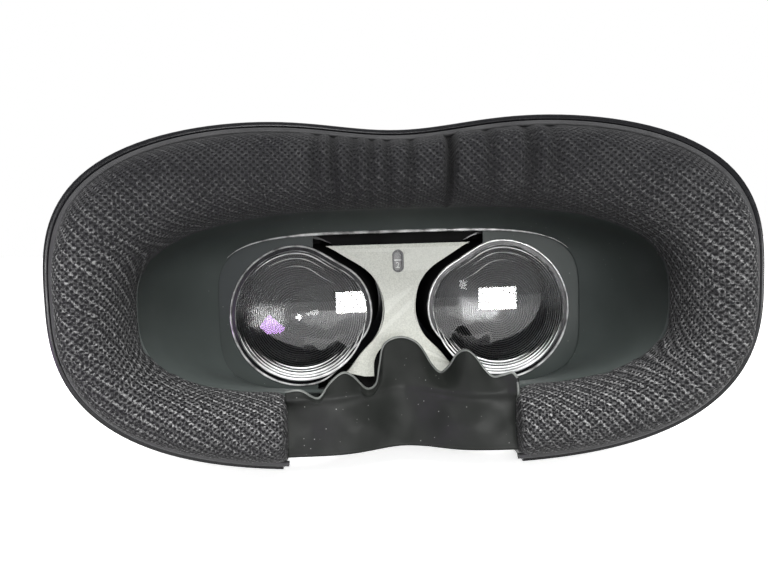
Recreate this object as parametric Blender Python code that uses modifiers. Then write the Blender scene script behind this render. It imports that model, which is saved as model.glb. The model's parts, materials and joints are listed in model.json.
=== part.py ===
"""Head-worn viewing goggles with a padded face interface and two adjustable eyepieces.

Every length in this script is in millimetres, measured from the point midway between the two
lens centres: x to the wearer's right, y away from the wearer, z up. place() turns such a point
into metres in the part's own frame, whose origin is under the middle of the goggles, on the
surface that they stand on. Outlines are lists of (x, z), or of the two axes of their own plane.
"""

import math

import bmesh
import bpy
from mathutils import Matrix, Vector

MM = 0.001
WELD = 0.00001

# ---- Driving dimensions ----
LENS_Y = -3.5  # lens plane, from the middle of the whole depth
OPTIC_Z = 42.5  # lens centres, above the base
BASE = -OPTIC_Z
EYE_SPACING = 63.0  # middle of the three lens settings
SPACING_TRAVEL = 2.5  # each lens, from the middle setting to an end one
STATIONS = 48  # points round each large oval

CENTRE_Z = 5.2  # middle of the casing's height
BODY_HALF_WIDTH, BODY_HALF_HEIGHT, BODY_POWER = 82.0, 48.0, 3.4
BODY_LOWER_HEIGHT = 51.0  # below the centre, before the flat underside cuts it off
RIM_HALF_WIDTH, RIM_CENTRE_Z = 86.2, 10.0
RIM_TOP = (48.0, 3.1)  # height above the rim's centre, and the power of that half's curve
RIM_BOTTOM = (53.2, 2.55)
BROW_DIP, BROW_WIDTH = 3.8, 26.0  # the dip in the middle of the rim's upper edge
WALL = 2.2
GAP = 0.3  # between pieces that touch
HOUSING_REAR, HOUSING_FRONT = 2.7, 44.0
COVER_FRONT = 62.0

CREST_DEPTH = 31.5  # padding's highest line in front of the lenses, at the nose
CREST_WRAP = 22.6  # and how much further it reaches at the temples
TEMPLE_X = 76.0
PAD_THICKNESS = 17.0
PAD_OPENING = (69.4, 26.5, 6.0, 2.9)  # half width, half height, centre z, power
NOSE_HALF_WIDTH = 32.0
LENS_END = (58.5, 26.2, 0.6, 4.3)  # the shroud's edge at the lenses, given as the opening is

LENS_RADIUS = 22.8
GEAR_TEETH, GEAR_MODULE, GEAR_Z = 16, 0.5, 29.0
GEAR_RADIUS = GEAR_TEETH * GEAR_MODULE / 2
BACKLASH = 0.2
PRESSURE_ANGLE = math.radians(20)
GEAR_Y = (8.9, 11.1)
RACK_Y = (9.0, 11.0)
ROD_Y, ROD_Z, ROD_RADIUS = 15.0, 28.0, 1.5
FAN_X, FAN_Z, FAN_RADIUS = 34.0, 8.0, 16.0
LUG_PIVOT_Y, LUG_PIVOT_Z = 32.0, 10.0
ROCKER_X, ROCKER_Y, ROCKER_Z = 30.0, 24.0, 51.9
PORT_Z = -8.0
POWER_Y, POWER_Z, POWER_RADIUS = 32.0, -11.0, 4.5  # the power button, clear of the swinging strap lug
POST_X, POST_Z = 70.0, (-22.0, 30.0)
CAMERA_X, CAMERA_Z = 58.0, (-17.0, 29.0)
SNAPS = ((-48.0, 45.0), (48.0, 45.0), (-36.0, -36.7), (36.0, -36.7))


# ---- Scene and materials ----
def clear_scene():
    for obj in list(bpy.data.objects):
        bpy.data.objects.remove(obj)


def collection(name):
    made = bpy.data.collections.new(name)
    bpy.context.scene.collection.children.link(made)
    return made


def material(name, colour, roughness, metallic=0.0, transmission=0.0):
    made = bpy.data.materials.new(name)
    made.use_nodes = True
    shader = made.node_tree.nodes["Principled BSDF"]
    shader.inputs["Base Color"].default_value = (*colour, 1)
    shader.inputs["Roughness"].default_value = roughness
    shader.inputs["Metallic"].default_value = metallic
    shader.inputs["Transmission Weight"].default_value = transmission
    made.diffuse_color = (*colour, 1)
    return made


clear_scene()
PARTS = collection("viewing_goggles")
TOOLS = collection("cutters")

SHELL = material("shell", (0.030, 0.031, 0.033), 0.45)
GLOSS = material("gloss_black", (0.010, 0.010, 0.012), 0.12)
BLACK = material("black_plastic", (0.012, 0.012, 0.013), 0.50)
SLATE = material("slate_shroud", (0.040, 0.048, 0.048), 0.55)
GREY = material("grey_plate", (0.300, 0.310, 0.290), 0.50)
FABRIC = material("knit_fabric", (0.015, 0.015, 0.016), 0.95)
RUBBER = material("silicone", (0.035, 0.038, 0.036), 0.45)
CLEAR = material("clear_lens", (0.95, 0.96, 0.96), 0.02, transmission=1.0)
STEEL = material("steel", (0.55, 0.55, 0.56), 0.30, metallic=1.0)
ALLOY = material("alloy", (0.60, 0.61, 0.62), 0.40, metallic=1.0)
BOARD = material("circuit_board", (0.010, 0.060, 0.035), 0.50)
CELL = material("battery_wrap", (0.045, 0.050, 0.060), 0.40)
GLASS = material("display_glass", (0.010, 0.010, 0.014), 0.08)
NYLON = material("pale_nylon", (0.620, 0.610, 0.580), 0.50)
LIGHT = material("light_pipe", (0.850, 0.850, 0.820), 0.30)


# ---- Modelling helpers ----
def place(x, y, z):
    return Vector((x, y + LENS_Y, z + OPTIC_Z)) * MM


def put(obj, home, surface=None):
    for old in list(obj.users_collection):
        old.objects.unlink(obj)
    home.objects.link(obj)
    if surface:
        obj.data.materials.clear()
        obj.data.materials.append(surface)
    return obj


def from_bmesh(name, bm, surface=None):
    bmesh.ops.recalc_face_normals(bm, faces=bm.faces)
    mesh = bpy.data.meshes.new(name)
    bm.to_mesh(mesh)
    bm.free()
    return put(bpy.data.objects.new(name, mesh), PARTS, surface)


def as_mesh(obj):
    """The object as a welded mesh, in place of its curve."""
    bpy.context.view_layer.update()
    graph = bpy.context.evaluated_depsgraph_get()
    mesh = bpy.data.meshes.new_from_object(obj.evaluated_get(graph))
    bm = bmesh.new()
    bm.from_mesh(mesh)
    bmesh.ops.remove_doubles(bm, verts=bm.verts, dist=WELD)
    bm.to_mesh(mesh)
    bm.free()
    name, world = obj.name, obj.matrix_world.copy()
    bpy.data.objects.remove(obj)
    made = put(bpy.data.objects.new(name, mesh), PARTS)
    made.matrix_world = world
    return made


def corners(outline):
    """The outline without the points that lie on a straight line between their neighbours."""
    kept = []
    for i, (u, v) in enumerate(outline):
        before, after = outline[i - 1], outline[(i + 1) % len(outline)]
        turn = (u - before[0]) * (after[1] - v) - (v - before[1]) * (after[0] - u)
        if abs(turn) > 1e-6:
            kept.append((u, v))
    return kept


def plate(name, outlines, low, high, surface=None, plane="XZ"):
    """A flat piece between two levels of its plane's normal. The first outline is its edge."""
    curve = bpy.data.curves.new(name, "CURVE")
    curve.dimensions = "2D"
    curve.fill_mode = "BOTH"
    curve.extrude = (high - low) / 2 * MM
    for outline in map(corners, outlines):
        spline = curve.splines.new("POLY")
        spline.points.add(len(outline) - 1)
        for point, (u, v) in zip(spline.points, outline):
            point.co = (u * MM, v * MM, 0, 1)
        spline.use_cyclic_u = True
    flat = put(bpy.data.objects.new(name, curve), PARTS)
    middle = (low + high) / 2
    if plane == "XZ":
        flat.rotation_euler = (math.pi / 2, 0, 0)
        flat.location = place(0, middle, 0)
    elif plane == "YZ":
        flat.rotation_euler = (math.pi / 2, 0, math.pi / 2)
        flat.location = place(middle, 0, 0)
    else:
        flat.location = place(0, 0, middle)
    return put(as_mesh(flat), PARTS, surface)


def block(name, low, high, surface=None):
    """A box between two corners."""
    low, high = place(*low), place(*high)
    size = high - low
    bm = bmesh.new()
    scale = Matrix.Diagonal((*size, 1))
    bmesh.ops.create_cube(bm, size=1, matrix=Matrix.Translation((low + high) / 2) @ scale)
    return from_bmesh(name, bm, surface)


def cylinder(name, start, end, radius, surface=None, segments=24):
    start, end = place(*start), place(*end)
    turn = (end - start).to_track_quat("Z", "Y").to_matrix().to_4x4()
    bm = bmesh.new()
    bmesh.ops.create_cone(
        bm,
        cap_ends=True,
        segments=segments,
        radius1=radius * MM,
        radius2=radius * MM,
        depth=(end - start).length,
        matrix=Matrix.Translation((start + end) / 2) @ turn,
    )
    return from_bmesh(name, bm, surface)


def turned(name, profile, at, axis, surface, steps=16):
    """A turned piece, from a profile of (radius, height) down its outer side, along axis from at."""
    mesh = bpy.data.meshes.new(name)
    points = [(radius * MM, 0, height * MM) for radius, height in profile]
    mesh.from_pydata(points, [(i, i + 1) for i in range(len(points) - 1)], [])
    made = put(bpy.data.objects.new(name, mesh), PARTS, surface)
    made.location = place(*at)
    made.rotation_euler = Vector(axis).to_track_quat("Z", "Y").to_euler()
    screw = made.modifiers.new("turn", "SCREW")
    screw.steps = screw.render_steps = steps
    screw.use_merge_vertices = True
    screw.merge_threshold = 0.00005
    return made


def loft(name, rings, surface=None, closed=True):
    """A skin over rings of points. Closed joins the last to the first, otherwise the ends are capped."""
    bm = bmesh.new()
    loops = [[bm.verts.new(point) for point in ring] for ring in rings]
    pairs = list(zip(loops, loops[1:]))
    if closed:
        pairs.append((loops[-1], loops[0]))
    for near, far in pairs:
        for i in range(len(near)):
            j = (i + 1) % len(near)
            bm.faces.new((near[i], near[j], far[j], far[i]))
    if not closed:
        bm.faces.new(loops[0])
        bm.faces.new(loops[-1])
    bmesh.ops.triangulate(bm, faces=bm.faces)
    return from_bmesh(name, bm, surface)


def boolean(target, tool, operation="DIFFERENCE"):
    put(tool, TOOLS)
    tool.hide_render = True
    tool.display_type = "WIRE"
    modifier = target.modifiers.new(tool.name, "BOOLEAN")
    modifier.operation = operation
    modifier.object = tool
    return target


def smooth(obj, angle=35):
    obj.data.shade_smooth()
    obj.data.set_sharp_from_angle(angle=math.radians(angle))
    return obj


def moving(name, at, pieces):
    """An empty on a joint's axis, with its pieces parented to it."""
    empty = bpy.data.objects.new(name, None)
    empty.location = place(*at)
    PARTS.objects.link(empty)
    bpy.context.view_layer.update()
    for piece in pieces:
        world = piece.matrix_world.copy()
        piece.parent = empty
        piece.matrix_world = world


# ---- Outlines ----
def oval(half_width, half_height, centre_z=CENTRE_Z, power=BODY_POWER, lower_height=None):
    """A superellipse, whose lower half may have a height of its own."""
    points = []
    for i in range(STATIONS):
        c = math.cos(2 * math.pi * i / STATIONS)
        s = math.sin(2 * math.pi * i / STATIONS)
        reach = (abs(c) ** power + abs(s) ** power) ** (-1 / power)
        height = half_height if s > 0 or lower_height is None else lower_height
        points.append((half_width * c * reach, centre_z + height * s * reach))
    return points


def body_oval(inset, floor_inset=None):
    """The casing's outline, moved inwards and cut off flat at the underside."""
    floor = BASE + (inset if floor_inset is None else floor_inset)
    outline = oval(BODY_HALF_WIDTH - inset, BODY_HALF_HEIGHT - inset, lower_height=BODY_LOWER_HEIGHT - inset)
    return [(x, max(z, floor)) for x, z in outline]


def rim_oval(inset):
    """The outline of the face side: fuller above than below, with a dip over the nose."""
    points = []
    for i in range(STATIONS):
        c = math.cos(2 * math.pi * i / STATIONS)
        s = math.sin(2 * math.pi * i / STATIONS)
        height, power = RIM_TOP if s > 0 else RIM_BOTTOM
        reach = (abs(c) ** power + abs(s) ** power) ** (-1 / power)
        x = (RIM_HALF_WIDTH - inset) * c * reach
        z = RIM_CENTRE_Z + (height - inset) * s * reach
        if s > 0:
            z -= BROW_DIP * math.exp(-((x / BROW_WIDTH) ** 2))
        points.append((x, max(z, BASE + inset)))
    return points


def between(first, second, share):
    return [(x + (u - x) * share, z + (v - z) * share) for (x, z), (u, v) in zip(first, second)]


def opening_oval(outset):
    half_width, half_height, centre_z, power = PAD_OPENING
    return oval(half_width + outset, half_height + outset, centre_z, power)


def circle(u, v, radius, steps=20):
    turn = 2 * math.pi / steps
    return [(u + radius * math.cos(i * turn), v + radius * math.sin(i * turn)) for i in range(steps)]


def rounded(low, high, radius, corner_steps=4):
    """A rectangle with round corners."""
    points = []
    corners = ((high[0], high[1], 0), (low[0], high[1], 1), (low[0], low[1], 2), (high[0], low[1], 3))
    for u, v, quarter in corners:
        centre_u = u - radius if u == high[0] else u + radius
        centre_v = v - radius if v == high[1] else v + radius
        for i in range(corner_steps + 1):
            angle = math.pi / 2 * (quarter + i / corner_steps)
            points.append((centre_u + radius * math.cos(angle), centre_v + radius * math.sin(angle)))
    return points


def lens_outline(side, offset=0.0, scale=1.0, steps=32, stretch=0.0):
    """A circle flattened twice on its nose side. Stretch widens it along x, for the lens's travel."""
    points = []
    for i in range(steps):
        degrees = 360 * i / steps
        lower = 3.2 * math.exp(-(((degrees - 221) / 24) ** 2))
        upper = 2.0 * math.exp(-(((degrees - 122) / 22) ** 2))
        radius = (LENS_RADIUS - lower - upper + offset) * scale
        c, s = math.cos(math.radians(degrees)), math.sin(math.radians(degrees))
        x = EYE_SPACING / 2 + radius * c + stretch * math.copysign(min(1, abs(c) * 3), c)
        points.append((side * x, radius * s))
    return points


def crest_depth(x):
    return CREST_DEPTH + CREST_WRAP * (x / TEMPLE_X) ** 2


def behind_crest(distance):
    """The y of a surface that follows the padding's crest, at a distance behind it."""
    return lambda x: distance - crest_depth(x)


def ring(outline, y):
    return [place(x, y(x) if callable(y) else y, z) for x, z in outline]


# ---- Face interface ----
PLATE_FRONT = PAD_THICKNESS + 1.4  # behind the crest, under the hook tape
LIP_HEIGHT = 7.0


def nose_cutter(name, half_width, top, near, far):
    arch = [(half_width, BASE - 5), (half_width, top - half_width * 0.6)]
    arch += [(half_width * math.cos(a), top - half_width * 0.6 * (1 - math.sin(a))) for a in
             [math.pi * i / 12 for i in range(1, 12)]]
    arch += [(-half_width, top - half_width * 0.6), (-half_width, BASE - 5)]
    return plate(name, [arch], near, far)


def face_frame():
    """The black carrier: a skirt from the casing out to the rim, and the ledge that the padding sits on."""
    root = HOUSING_REAR - GAP - 0.2
    rings = [
        ring(body_oval(1.2), root),
        ring(between(body_oval(0.0), rim_oval(0.0), 0.55), -8.0),
        ring(rim_oval(0.0), behind_crest(PLATE_FRONT - LIP_HEIGHT + 1.2)),
        ring(rim_oval(0.5), behind_crest(PLATE_FRONT - LIP_HEIGHT)),
        ring(rim_oval(1.5), behind_crest(PLATE_FRONT - LIP_HEIGHT)),
        ring(rim_oval(1.9), behind_crest(PLATE_FRONT)),
        ring(opening_oval(2.0), behind_crest(PLATE_FRONT)),
        ring(opening_oval(2.0), behind_crest(PLATE_FRONT + 2.0)),
        ring(rim_oval(2.8), behind_crest(PLATE_FRONT + 2.6)),
        ring(between(body_oval(2.4), rim_oval(2.4), 0.55), -7.0),
        ring(body_oval(6.0), root),
    ]
    frame = loft("face_frame", rings, GLOSS)
    boolean(frame, nose_cutter("frame_nose_cut", NOSE_HALF_WIDTH - GAP, -12.0, -60.0, 4.0))
    for x, z in SNAPS:
        tab = block(f"snap_tab_{x:.0f}_{z:.0f}", (x - 4, -2, z - 1.2), (x + 4, 10, z + 1.2))
        boolean(frame, tab, "UNION")
    return smooth(frame)


def inner_shroud():
    """The dark funnel from the padding in to the lenses."""
    def funnel(share, inset):
        width, height, centre_z, power = [a + (b - a) * share for a, b in zip(PAD_OPENING, LENS_END)]
        flange = 1.2 * (1 - share) - inset
        return oval(width + flange, height + flange, centre_z, power)

    front = behind_crest(PLATE_FRONT - 0.6)
    depths = (0.0, 0.35, 0.7, 1.0)

    def level(share):
        return lambda x: front(x) * (1 - share) - 3.0 * share

    outer = [ring(funnel(s * s, 0.0), level(s)) for s in depths]
    inner = [ring(funnel(s * s, 1.3), level(s)) for s in reversed(depths)]
    shroud = loft("inner_shroud", outer + inner, SLATE)
    return smooth(boolean(shroud, nose_cutter("shroud_nose_cut", 36.5, -8.0, -60.0, -6.0)))


def face_cushion():
    """The padded ring, crowned across its width and open at the nose."""
    outer = rim_oval(2.6)
    inner = opening_oval(0.0)
    section = (
        (0.02, 0.0), (-0.02, 0.45), (0.05, 0.78), (0.22, 0.96), (0.48, 1.0),
        (0.75, 0.93), (0.93, 0.72), (1.01, 0.40), (0.97, 0.0),
    )
    rings = []
    for across, height in section:
        outline = [
            (ox + (ix - ox) * across, oz + (iz - oz) * across)
            for (ox, oz), (ix, iz) in zip(outer, inner)
        ]
        rings.append(ring(outline, behind_crest(PAD_THICKNESS * (1 - height))))
    cushion = loft("face_cushion", rings, FABRIC)
    gap = block("nose_gap", (-NOSE_HALF_WIDTH, -70, -60), (NOSE_HALF_WIDTH, 0, -5))
    return smooth(boolean(cushion, gap), 50)


def nose_flap():
    """A soft sheet that slopes from under the nose back to its bridge, with cheeks that meet the frame."""
    side, wall = NOSE_HALF_WIDTH - 0.7, 1.3
    low, bend, high = (-28.0, BASE + 6.0), (-24.0, -28.6), (-12.5, -12.8)
    slope = [low, (low[0] + wall, low[1]), (bend[0] + wall, bend[1] - 0.4)]
    slope += [(high[0] + wall, high[1] - 0.6), high, bend]
    flap = plate("nose_flap", [slope], -side, side, RUBBER, plane="YZ")
    foot = behind_crest(PLATE_FRONT - 2.5)(side)
    sunk = wall / 2
    cheek = [(low[0] + sunk, low[1] + 0.2), (foot, low[1] + 0.2), (foot, -23.0), (bend[0] + sunk, bend[1])]
    for inner, outer in ((0.1 - side, wall - side), (side - wall, side - 0.1)):
        boolean(flap, plate(f"nose_cheek_{outer:.0f}", [cheek], inner, outer, plane="YZ"), "UNION")
    bridge = [(-8.0, high[1] - 1.7), (8.0, high[1] - 1.7)]
    bridge_arc = [math.pi * i / 10 for i in range(11)]
    bridge += [(7.5 * math.cos(a), high[1] + 6.5 * math.sin(a)) for a in bridge_arc]
    return boolean(flap, plate("nose_tab", [bridge], high[0] + 0.1, high[0] + 1.2), "UNION")


def hook_tape(name, first, last):
    """A thin strip of hook tape on the ledge, between two stations of the ovals."""
    outer, inner = rim_oval(5.5), opening_oval(4.5)

    def section(station):
        (ox, oz), (ix, iz) = outer[station % STATIONS], inner[station % STATIONS]
        return [
            place(x, behind_crest(depth)(x), z)
            for (x, z), depth in (
                ((ox, oz), PLATE_FRONT - GAP), ((ix, iz), PLATE_FRONT - GAP),
                ((ix, iz), PLATE_FRONT - 1.1), ((ox, oz), PLATE_FRONT - 1.1),
            )
        ]

    return loft(name, [section(i) for i in range(first, last + 1)], BLACK, closed=False)


# ---- Eyepieces ----
def lens(name, side):
    """A plano-convex lens with a square edge, cut to the shape of its barrel."""
    rings = [ring(lens_outline(side), 1.6), ring(lens_outline(side), -0.6)]
    for scale, rise in ((0.93, 1.5), (0.70, 2.6), (0.38, 3.3), (0.12, 3.5)):
        rings.append(ring(lens_outline(side, scale=scale), -rise))
    return smooth(loft(name, rings, CLEAR, closed=False))


def barrel(name, side):
    """A tapered tube with an ear above and below, each bored for a guide rod."""
    outer = ((2.0, -0.3), (5.0, 0.5), (12.0, 1.3), (33.0, 2.4))
    rings = [ring(lens_outline(side, offset), y) for y, offset in outer]
    rings += [ring(lens_outline(side, offset - 1.5), y) for y, offset in reversed(outer)]
    tube = loft(name, rings, BLACK)
    middle = side * EYE_SPACING / 2
    for z in (-ROD_Z, ROD_Z):
        low, high = sorted((math.copysign(22.8, z), math.copysign(31.0, z)))
        ear = block(f"{name}_ear_{z:.0f}", (middle - 6, 11.4, low), (middle + 6, 18.6, high))
        boolean(tube, ear, "UNION")
        bore = cylinder(
            f"{name}_bore_{z:.0f}", (middle - 8, ROD_Y, z), (middle + 8, ROD_Y, z), ROD_RADIUS + GAP
        )
        boolean(tube, bore)
    return smooth(tube)


def involute(angle):
    return math.tan(angle) - angle


def gear_outline():
    """Involute teeth, with one tooth pointing straight down."""
    base = GEAR_RADIUS * math.cos(PRESSURE_ANGLE)
    half_tooth = math.pi / (2 * GEAR_TEETH) - BACKLASH / (2 * GEAR_RADIUS)
    flank = []
    for radius in (base, GEAR_RADIUS, GEAR_RADIUS + 0.45):
        pressure = math.acos(min(1, base / radius))
        flank.append((radius, half_tooth + involute(PRESSURE_ANGLE) - involute(pressure)))
    root = (GEAR_RADIUS - 0.65, flank[0][1])
    side = [root] + flank
    points = []
    for tooth in range(GEAR_TEETH):
        middle = -math.pi / 2 + 2 * math.pi * tooth / GEAR_TEETH
        for radius, half in [(r, -h) for r, h in side] + [(r, h) for r, h in reversed(side)]:
            points.append((radius * math.cos(middle + half), GEAR_Z + radius * math.sin(middle + half)))
    return points


def rack_teeth(pitch_z, towards, first_x, last_x):
    """Straight-sided teeth along x. Towards is +1 where they point up; a gap is centred on x = 0."""
    pitch = math.pi * GEAR_MODULE
    slope = math.tan(PRESSURE_ANGLE)
    half = pitch / 4 - BACKLASH / 2
    tip, root = 0.42, 0.6
    points = []
    number = math.ceil(first_x / pitch)
    while (number + 0.5) * pitch + half + root * slope < last_x:
        middle = (number + 0.5) * pitch
        if middle - half - root * slope > first_x:
            for x, reach in (
                (middle - half - root * slope, -root), (middle - half + tip * slope, tip),
                (middle + half - tip * slope, tip), (middle + half + root * slope, -root),
            ):
                points.append((x, pitch_z + towards * reach))
        number += 1
    return points


def rack_left():
    """Toothed bar under the gear, with the index block that shows in the window."""
    line = GEAR_Z - GEAR_RADIUS
    outline = [(-37, line + 2.2), (-37, line - 0.1), (-20.5, line - 0.1), (-20.5, line - 3), (5.4, line - 3),
               (5.4, line - 0.6)]
    outline += list(reversed(rack_teeth(line, 1, -8.0, 5.0)))
    outline += [(-9.0, line - 0.6), (-12.0, line + 2.2)]
    rack = plate("rack_left", [outline], *RACK_Y, NYLON)
    boolean(rack, block("index_riser", (-6.5, 7.7, 12.0), (6.5, 9.6, line - 1.4)), "UNION")
    return boolean(rack, block("index_block", (-6.2, 5.7, 12.4), (6.2, 8.6, 20.6)), "UNION")


def rack_right():
    """Toothed bar over the gear."""
    line = GEAR_Z + GEAR_RADIUS
    outline = [(-5.4, line + 0.6)]
    outline += rack_teeth(line, -1, -5.0, 8.0)
    outline += [(9.0, line + 0.6), (24.0, line + 0.6), (24.0, 25.4)]
    outline += [(37.0, 25.4), (37.0, line + 3), (-5.4, line + 3)]
    return plate("rack_right", [outline], *RACK_Y, NYLON)


# ---- Casing ----
def housing():
    """The open sleeve round the works, with its vents, ports and control openings."""
    rings = [
        ring(body_oval(1.0), HOUSING_REAR),
        ring(body_oval(0.2), HOUSING_REAR + 1.6),
        ring(body_oval(0.0), HOUSING_REAR + 4.0),
        ring(body_oval(0.0), HOUSING_FRONT),
        ring(body_oval(WALL), HOUSING_FRONT),
        ring(body_oval(WALL), HOUSING_REAR + 4.0),
        ring(body_oval(WALL + 1.0), HOUSING_REAR),
    ]
    shell = loft("housing", rings, SHELL)
    for i in range(7):
        x = -24.0 + 8.0 * i
        boolean(shell, block(f"vent_{i}", (x - 1.6, 33, 40), (x + 1.6, 41, 62)))
    slot = block("rocker_slot", (ROCKER_X - 11.4, ROCKER_Y - 3.4, 44), (ROCKER_X + 11.4, ROCKER_Y + 3.4, 58))
    boolean(shell, slot)
    power_ends = (75, POWER_Y, POWER_Z), (92, POWER_Y, POWER_Z)
    boolean(shell, cylinder("power_hole", *power_ends, POWER_RADIUS + 0.4))
    boolean(shell, cylinder("jack_hole", (-92, 34, PORT_Z), (-75, 34, PORT_Z), 3.5))
    usb_edge = rounded((14.9, PORT_Z - 2.1), (25.1, PORT_Z + 2.1), 1.6)
    boolean(shell, plate("usb_hole", [usb_edge], -92, -75, plane="YZ"))
    for side in (-1, 1):
        ends = sorted((side * 75.0, side * 92.0))
        boolean(
            shell,
            cylinder(
                f"lug_hole_{side}",
                (ends[0], LUG_PIVOT_Y, LUG_PIVOT_Z),
                (ends[1], LUG_PIVOT_Y, LUG_PIVOT_Z),
                2.6,
            ),
        )
    return smooth(shell)


def front_cover():
    """The rounded cap over the front, with four camera openings."""
    steps = [(HOUSING_FRONT + 0.4, 0.0), (54.0, 0.2), (58.6, 1.6), (60.8, 4.6), (61.7, 8.5)]
    steps.append((COVER_FRONT, 15.0))
    outer = [ring(body_oval(inset, min(inset, 6.0)), y) for y, inset in steps]
    inner = [
        ring(body_oval(inset + WALL, min(inset, 6.0) + WALL), y - (WALL if y > 58 else 0))
        for y, inset in reversed(steps)
    ]
    bm = bmesh.new()
    loops = [[bm.verts.new(point) for point in points] for points in outer + inner]
    half = len(outer)
    joined = list(zip(loops[:half], loops[1:half])) + list(zip(loops[half:], loops[half + 1:]))
    for near, far in joined + [(loops[-1], loops[0])]:
        for i in range(STATIONS):
            j = (i + 1) % STATIONS
            bm.faces.new((near[i], near[j], far[j], far[i]))
    bm.faces.new(loops[half - 1])
    bm.faces.new(loops[half])
    bmesh.ops.triangulate(bm, faces=bm.faces)
    cover = from_bmesh("front_cover", bm, SHELL)
    for side in (-1, 1):
        for z in CAMERA_Z:
            x = side * CAMERA_X
            boolean(cover, cylinder(f"camera_hole_{side}_{z:.0f}", (x, 50, z), (x, 70, z), 6.4))
    boolean(cover, cylinder("status_hole", (0, 55, 30), (0, 70, 30), 1.5, segments=16))
    return smooth(cover)


def rear_frame():
    """The black bulkhead behind the lens plate. Its openings leave room for both barrels to travel."""
    frame = plate("rear_frame", [body_oval(WALL + 0.5 + GAP)], 5.0, 7.2, BLACK)
    for side in (-1, 1):
        hole = lens_outline(side, 2.6, stretch=SPACING_TRAVEL + 0.4)
        boolean(frame, plate(f"barrel_opening_{side}", [hole], 4.0, 8.2))
        for z in POST_Z:
            x = side * POST_X
            hole = cylinder(f"rear_screw_hole_{side}_{z:.0f}", (x, 4, z), (x, 8.2, z), 1.6, segments=16)
            boolean(frame, hole)
    for x, z in SNAPS:
        low, high = sorted((z - math.copysign(1.7, z), z + math.copysign(5, z)))
        boolean(frame, block(f"snap_slot_{x:.0f}_{z:.0f}", (x - 4.6, 4, low), (x + 4.6, 8.2, high)))
    return boolean(frame, block("index_slot", (-9.4, 4, 11.6), (9.4, 8.2, 21.4)))


def lens_plate():
    """The grey bridge between the lenses, arched over the nose."""
    sheet = [(-27.0, 20.8), (-26.0, 22.0), (26.0, 22.0), (27.0, 20.8), (27.0, 10.0)]
    sheet += [(20.0, -19.0), (12.0, -21.0), (8.9, -21.0)]
    sheet += [(8.9 * math.cos(a), -18.0 + 8.9 * math.sin(a)) for a in [math.pi * i / 12 for i in range(13)]]
    sheet += [(-8.9, -21.0), (-12.0, -21.0), (-20.0, -19.0), (-27.0, 10.0)]
    window = rounded((-1.6, 13.0), (1.6, 20.0), 1.55)
    bridge = plate("lens_plate", [sheet, window], 2.6, 4.6, GREY)
    for side in (-1, 1):
        boolean(bridge, plate(f"lens_cut_{side}", [lens_outline(side, 4.6)], 1.6, 5.6))
    return bridge


def mid_frame():
    """The chassis behind the display, with four posts forward to the bulkhead."""
    frame = plate("mid_frame", [body_oval(WALL + 0.5 + GAP)], 38.6, 40.0, ALLOY)
    for side in (-1, 1):
        for z in POST_Z:
            x = side * POST_X
            post = cylinder(f"post_{side}_{z:.0f}", (x, 7.6, z), (x, 39.3, z), 3.6, segments=16)
            boolean(frame, post, "UNION")
            bore = cylinder(f"post_bore_{side}_{z:.0f}", (x, 7.0, z), (x, 18.0, z), 1.3, segments=12)
            boolean(frame, bore)
    for x, z in BOARD_SCREWS:
        boolean(frame, cylinder(f"board_bore_{x:.0f}_{z:.0f}", (x, 38, z), (x, 41, z), 1.3, segments=12))
    return frame


BOARD_SCREWS = ((-58.0, -18.0), (58.0, -18.0), (-58.0, 32.0), (58.0, 32.0))


# ---- Inner works ----
def screw(name, at, axis):
    """A pan-head screw whose head is above at, along axis."""
    profile = [(0, 1.3), (1.6, 1.1), (2.1, 0.5), (2.1, 0), (1.0, 0), (1.0, -6.5), (0, -6.5)]
    return turned(name, profile, at, axis, STEEL, steps=8)


def rail_bracket(name, side):
    """An upright that holds the ends of both guide rods."""
    low, high = sorted((side * 59.6, side * 62.8))
    post = block(name, (low, 8.0, -30.9), (high, 22.0, 30.9), ALLOY)
    for z in (-ROD_Z, ROD_Z):
        ends = (low - 2, ROD_Y, z), (high + 2, ROD_Y, z)
        boolean(post, cylinder(f"{name}_bore_{z:.0f}", *ends, ROD_RADIUS + GAP))
    return boolean(post, block(f"{name}_window", (low - 1, 11.5, -20), (high + 1, 18.5, 20)))


def blower_wheel():
    """A hub with swept blades."""
    blades, hub, reach = 9, 7.0, FAN_RADIUS - 1.2
    points = []
    for i in range(blades):
        turn = 2 * math.pi * i / blades
        for radius, angle in (
            (hub, -0.22), (reach * 0.7, -0.02), (reach, 0.30), (reach, 0.40), (reach * 0.7, 0.13), (hub, 0.0),
            (hub, 0.24),
        ):
            points.append((FAN_X + radius * math.cos(turn + angle), FAN_Z + radius * math.sin(turn + angle)))
    return plate("blower_wheel", [points], 45.0, 51.0, BLACK)


def blower_housing():
    """A square scroll casing, open to the front round the wheel, with its outlet upwards."""
    half = FAN_RADIUS + 2.2
    low, high = (FAN_X - half, 44.0, FAN_Z - half), (FAN_X + half, 52.2, FAN_Z + half)
    case = block("blower_housing", low, high, BLACK)
    boolean(case, cylinder("wheel_well", (FAN_X, 44.6, FAN_Z), (FAN_X, 54, FAN_Z), FAN_RADIUS, segments=32))
    return boolean(case, block("outlet", (FAN_X - 9, 45.2, FAN_Z), (FAN_X + 12, 51.0, FAN_Z + half + 2)))


def heat_sink():
    """A base with upright fins along z."""
    base_y, top_y, first, pitch, thick = 44.2, 52.0, -14.0, 3.0, 0.9
    comb = [(first, base_y), (first + 8 * pitch + thick, base_y)]
    for i in range(8, -1, -1):
        x = first + i * pitch
        comb += [(x + thick, top_y), (x, top_y)]
        if i:
            comb += [(x, base_y + 1.6), (x - pitch + thick, base_y + 1.6)]
    return plate("heat_sink", [comb], -10.0, 26.0, ALLOY, plane="XY")


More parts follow.
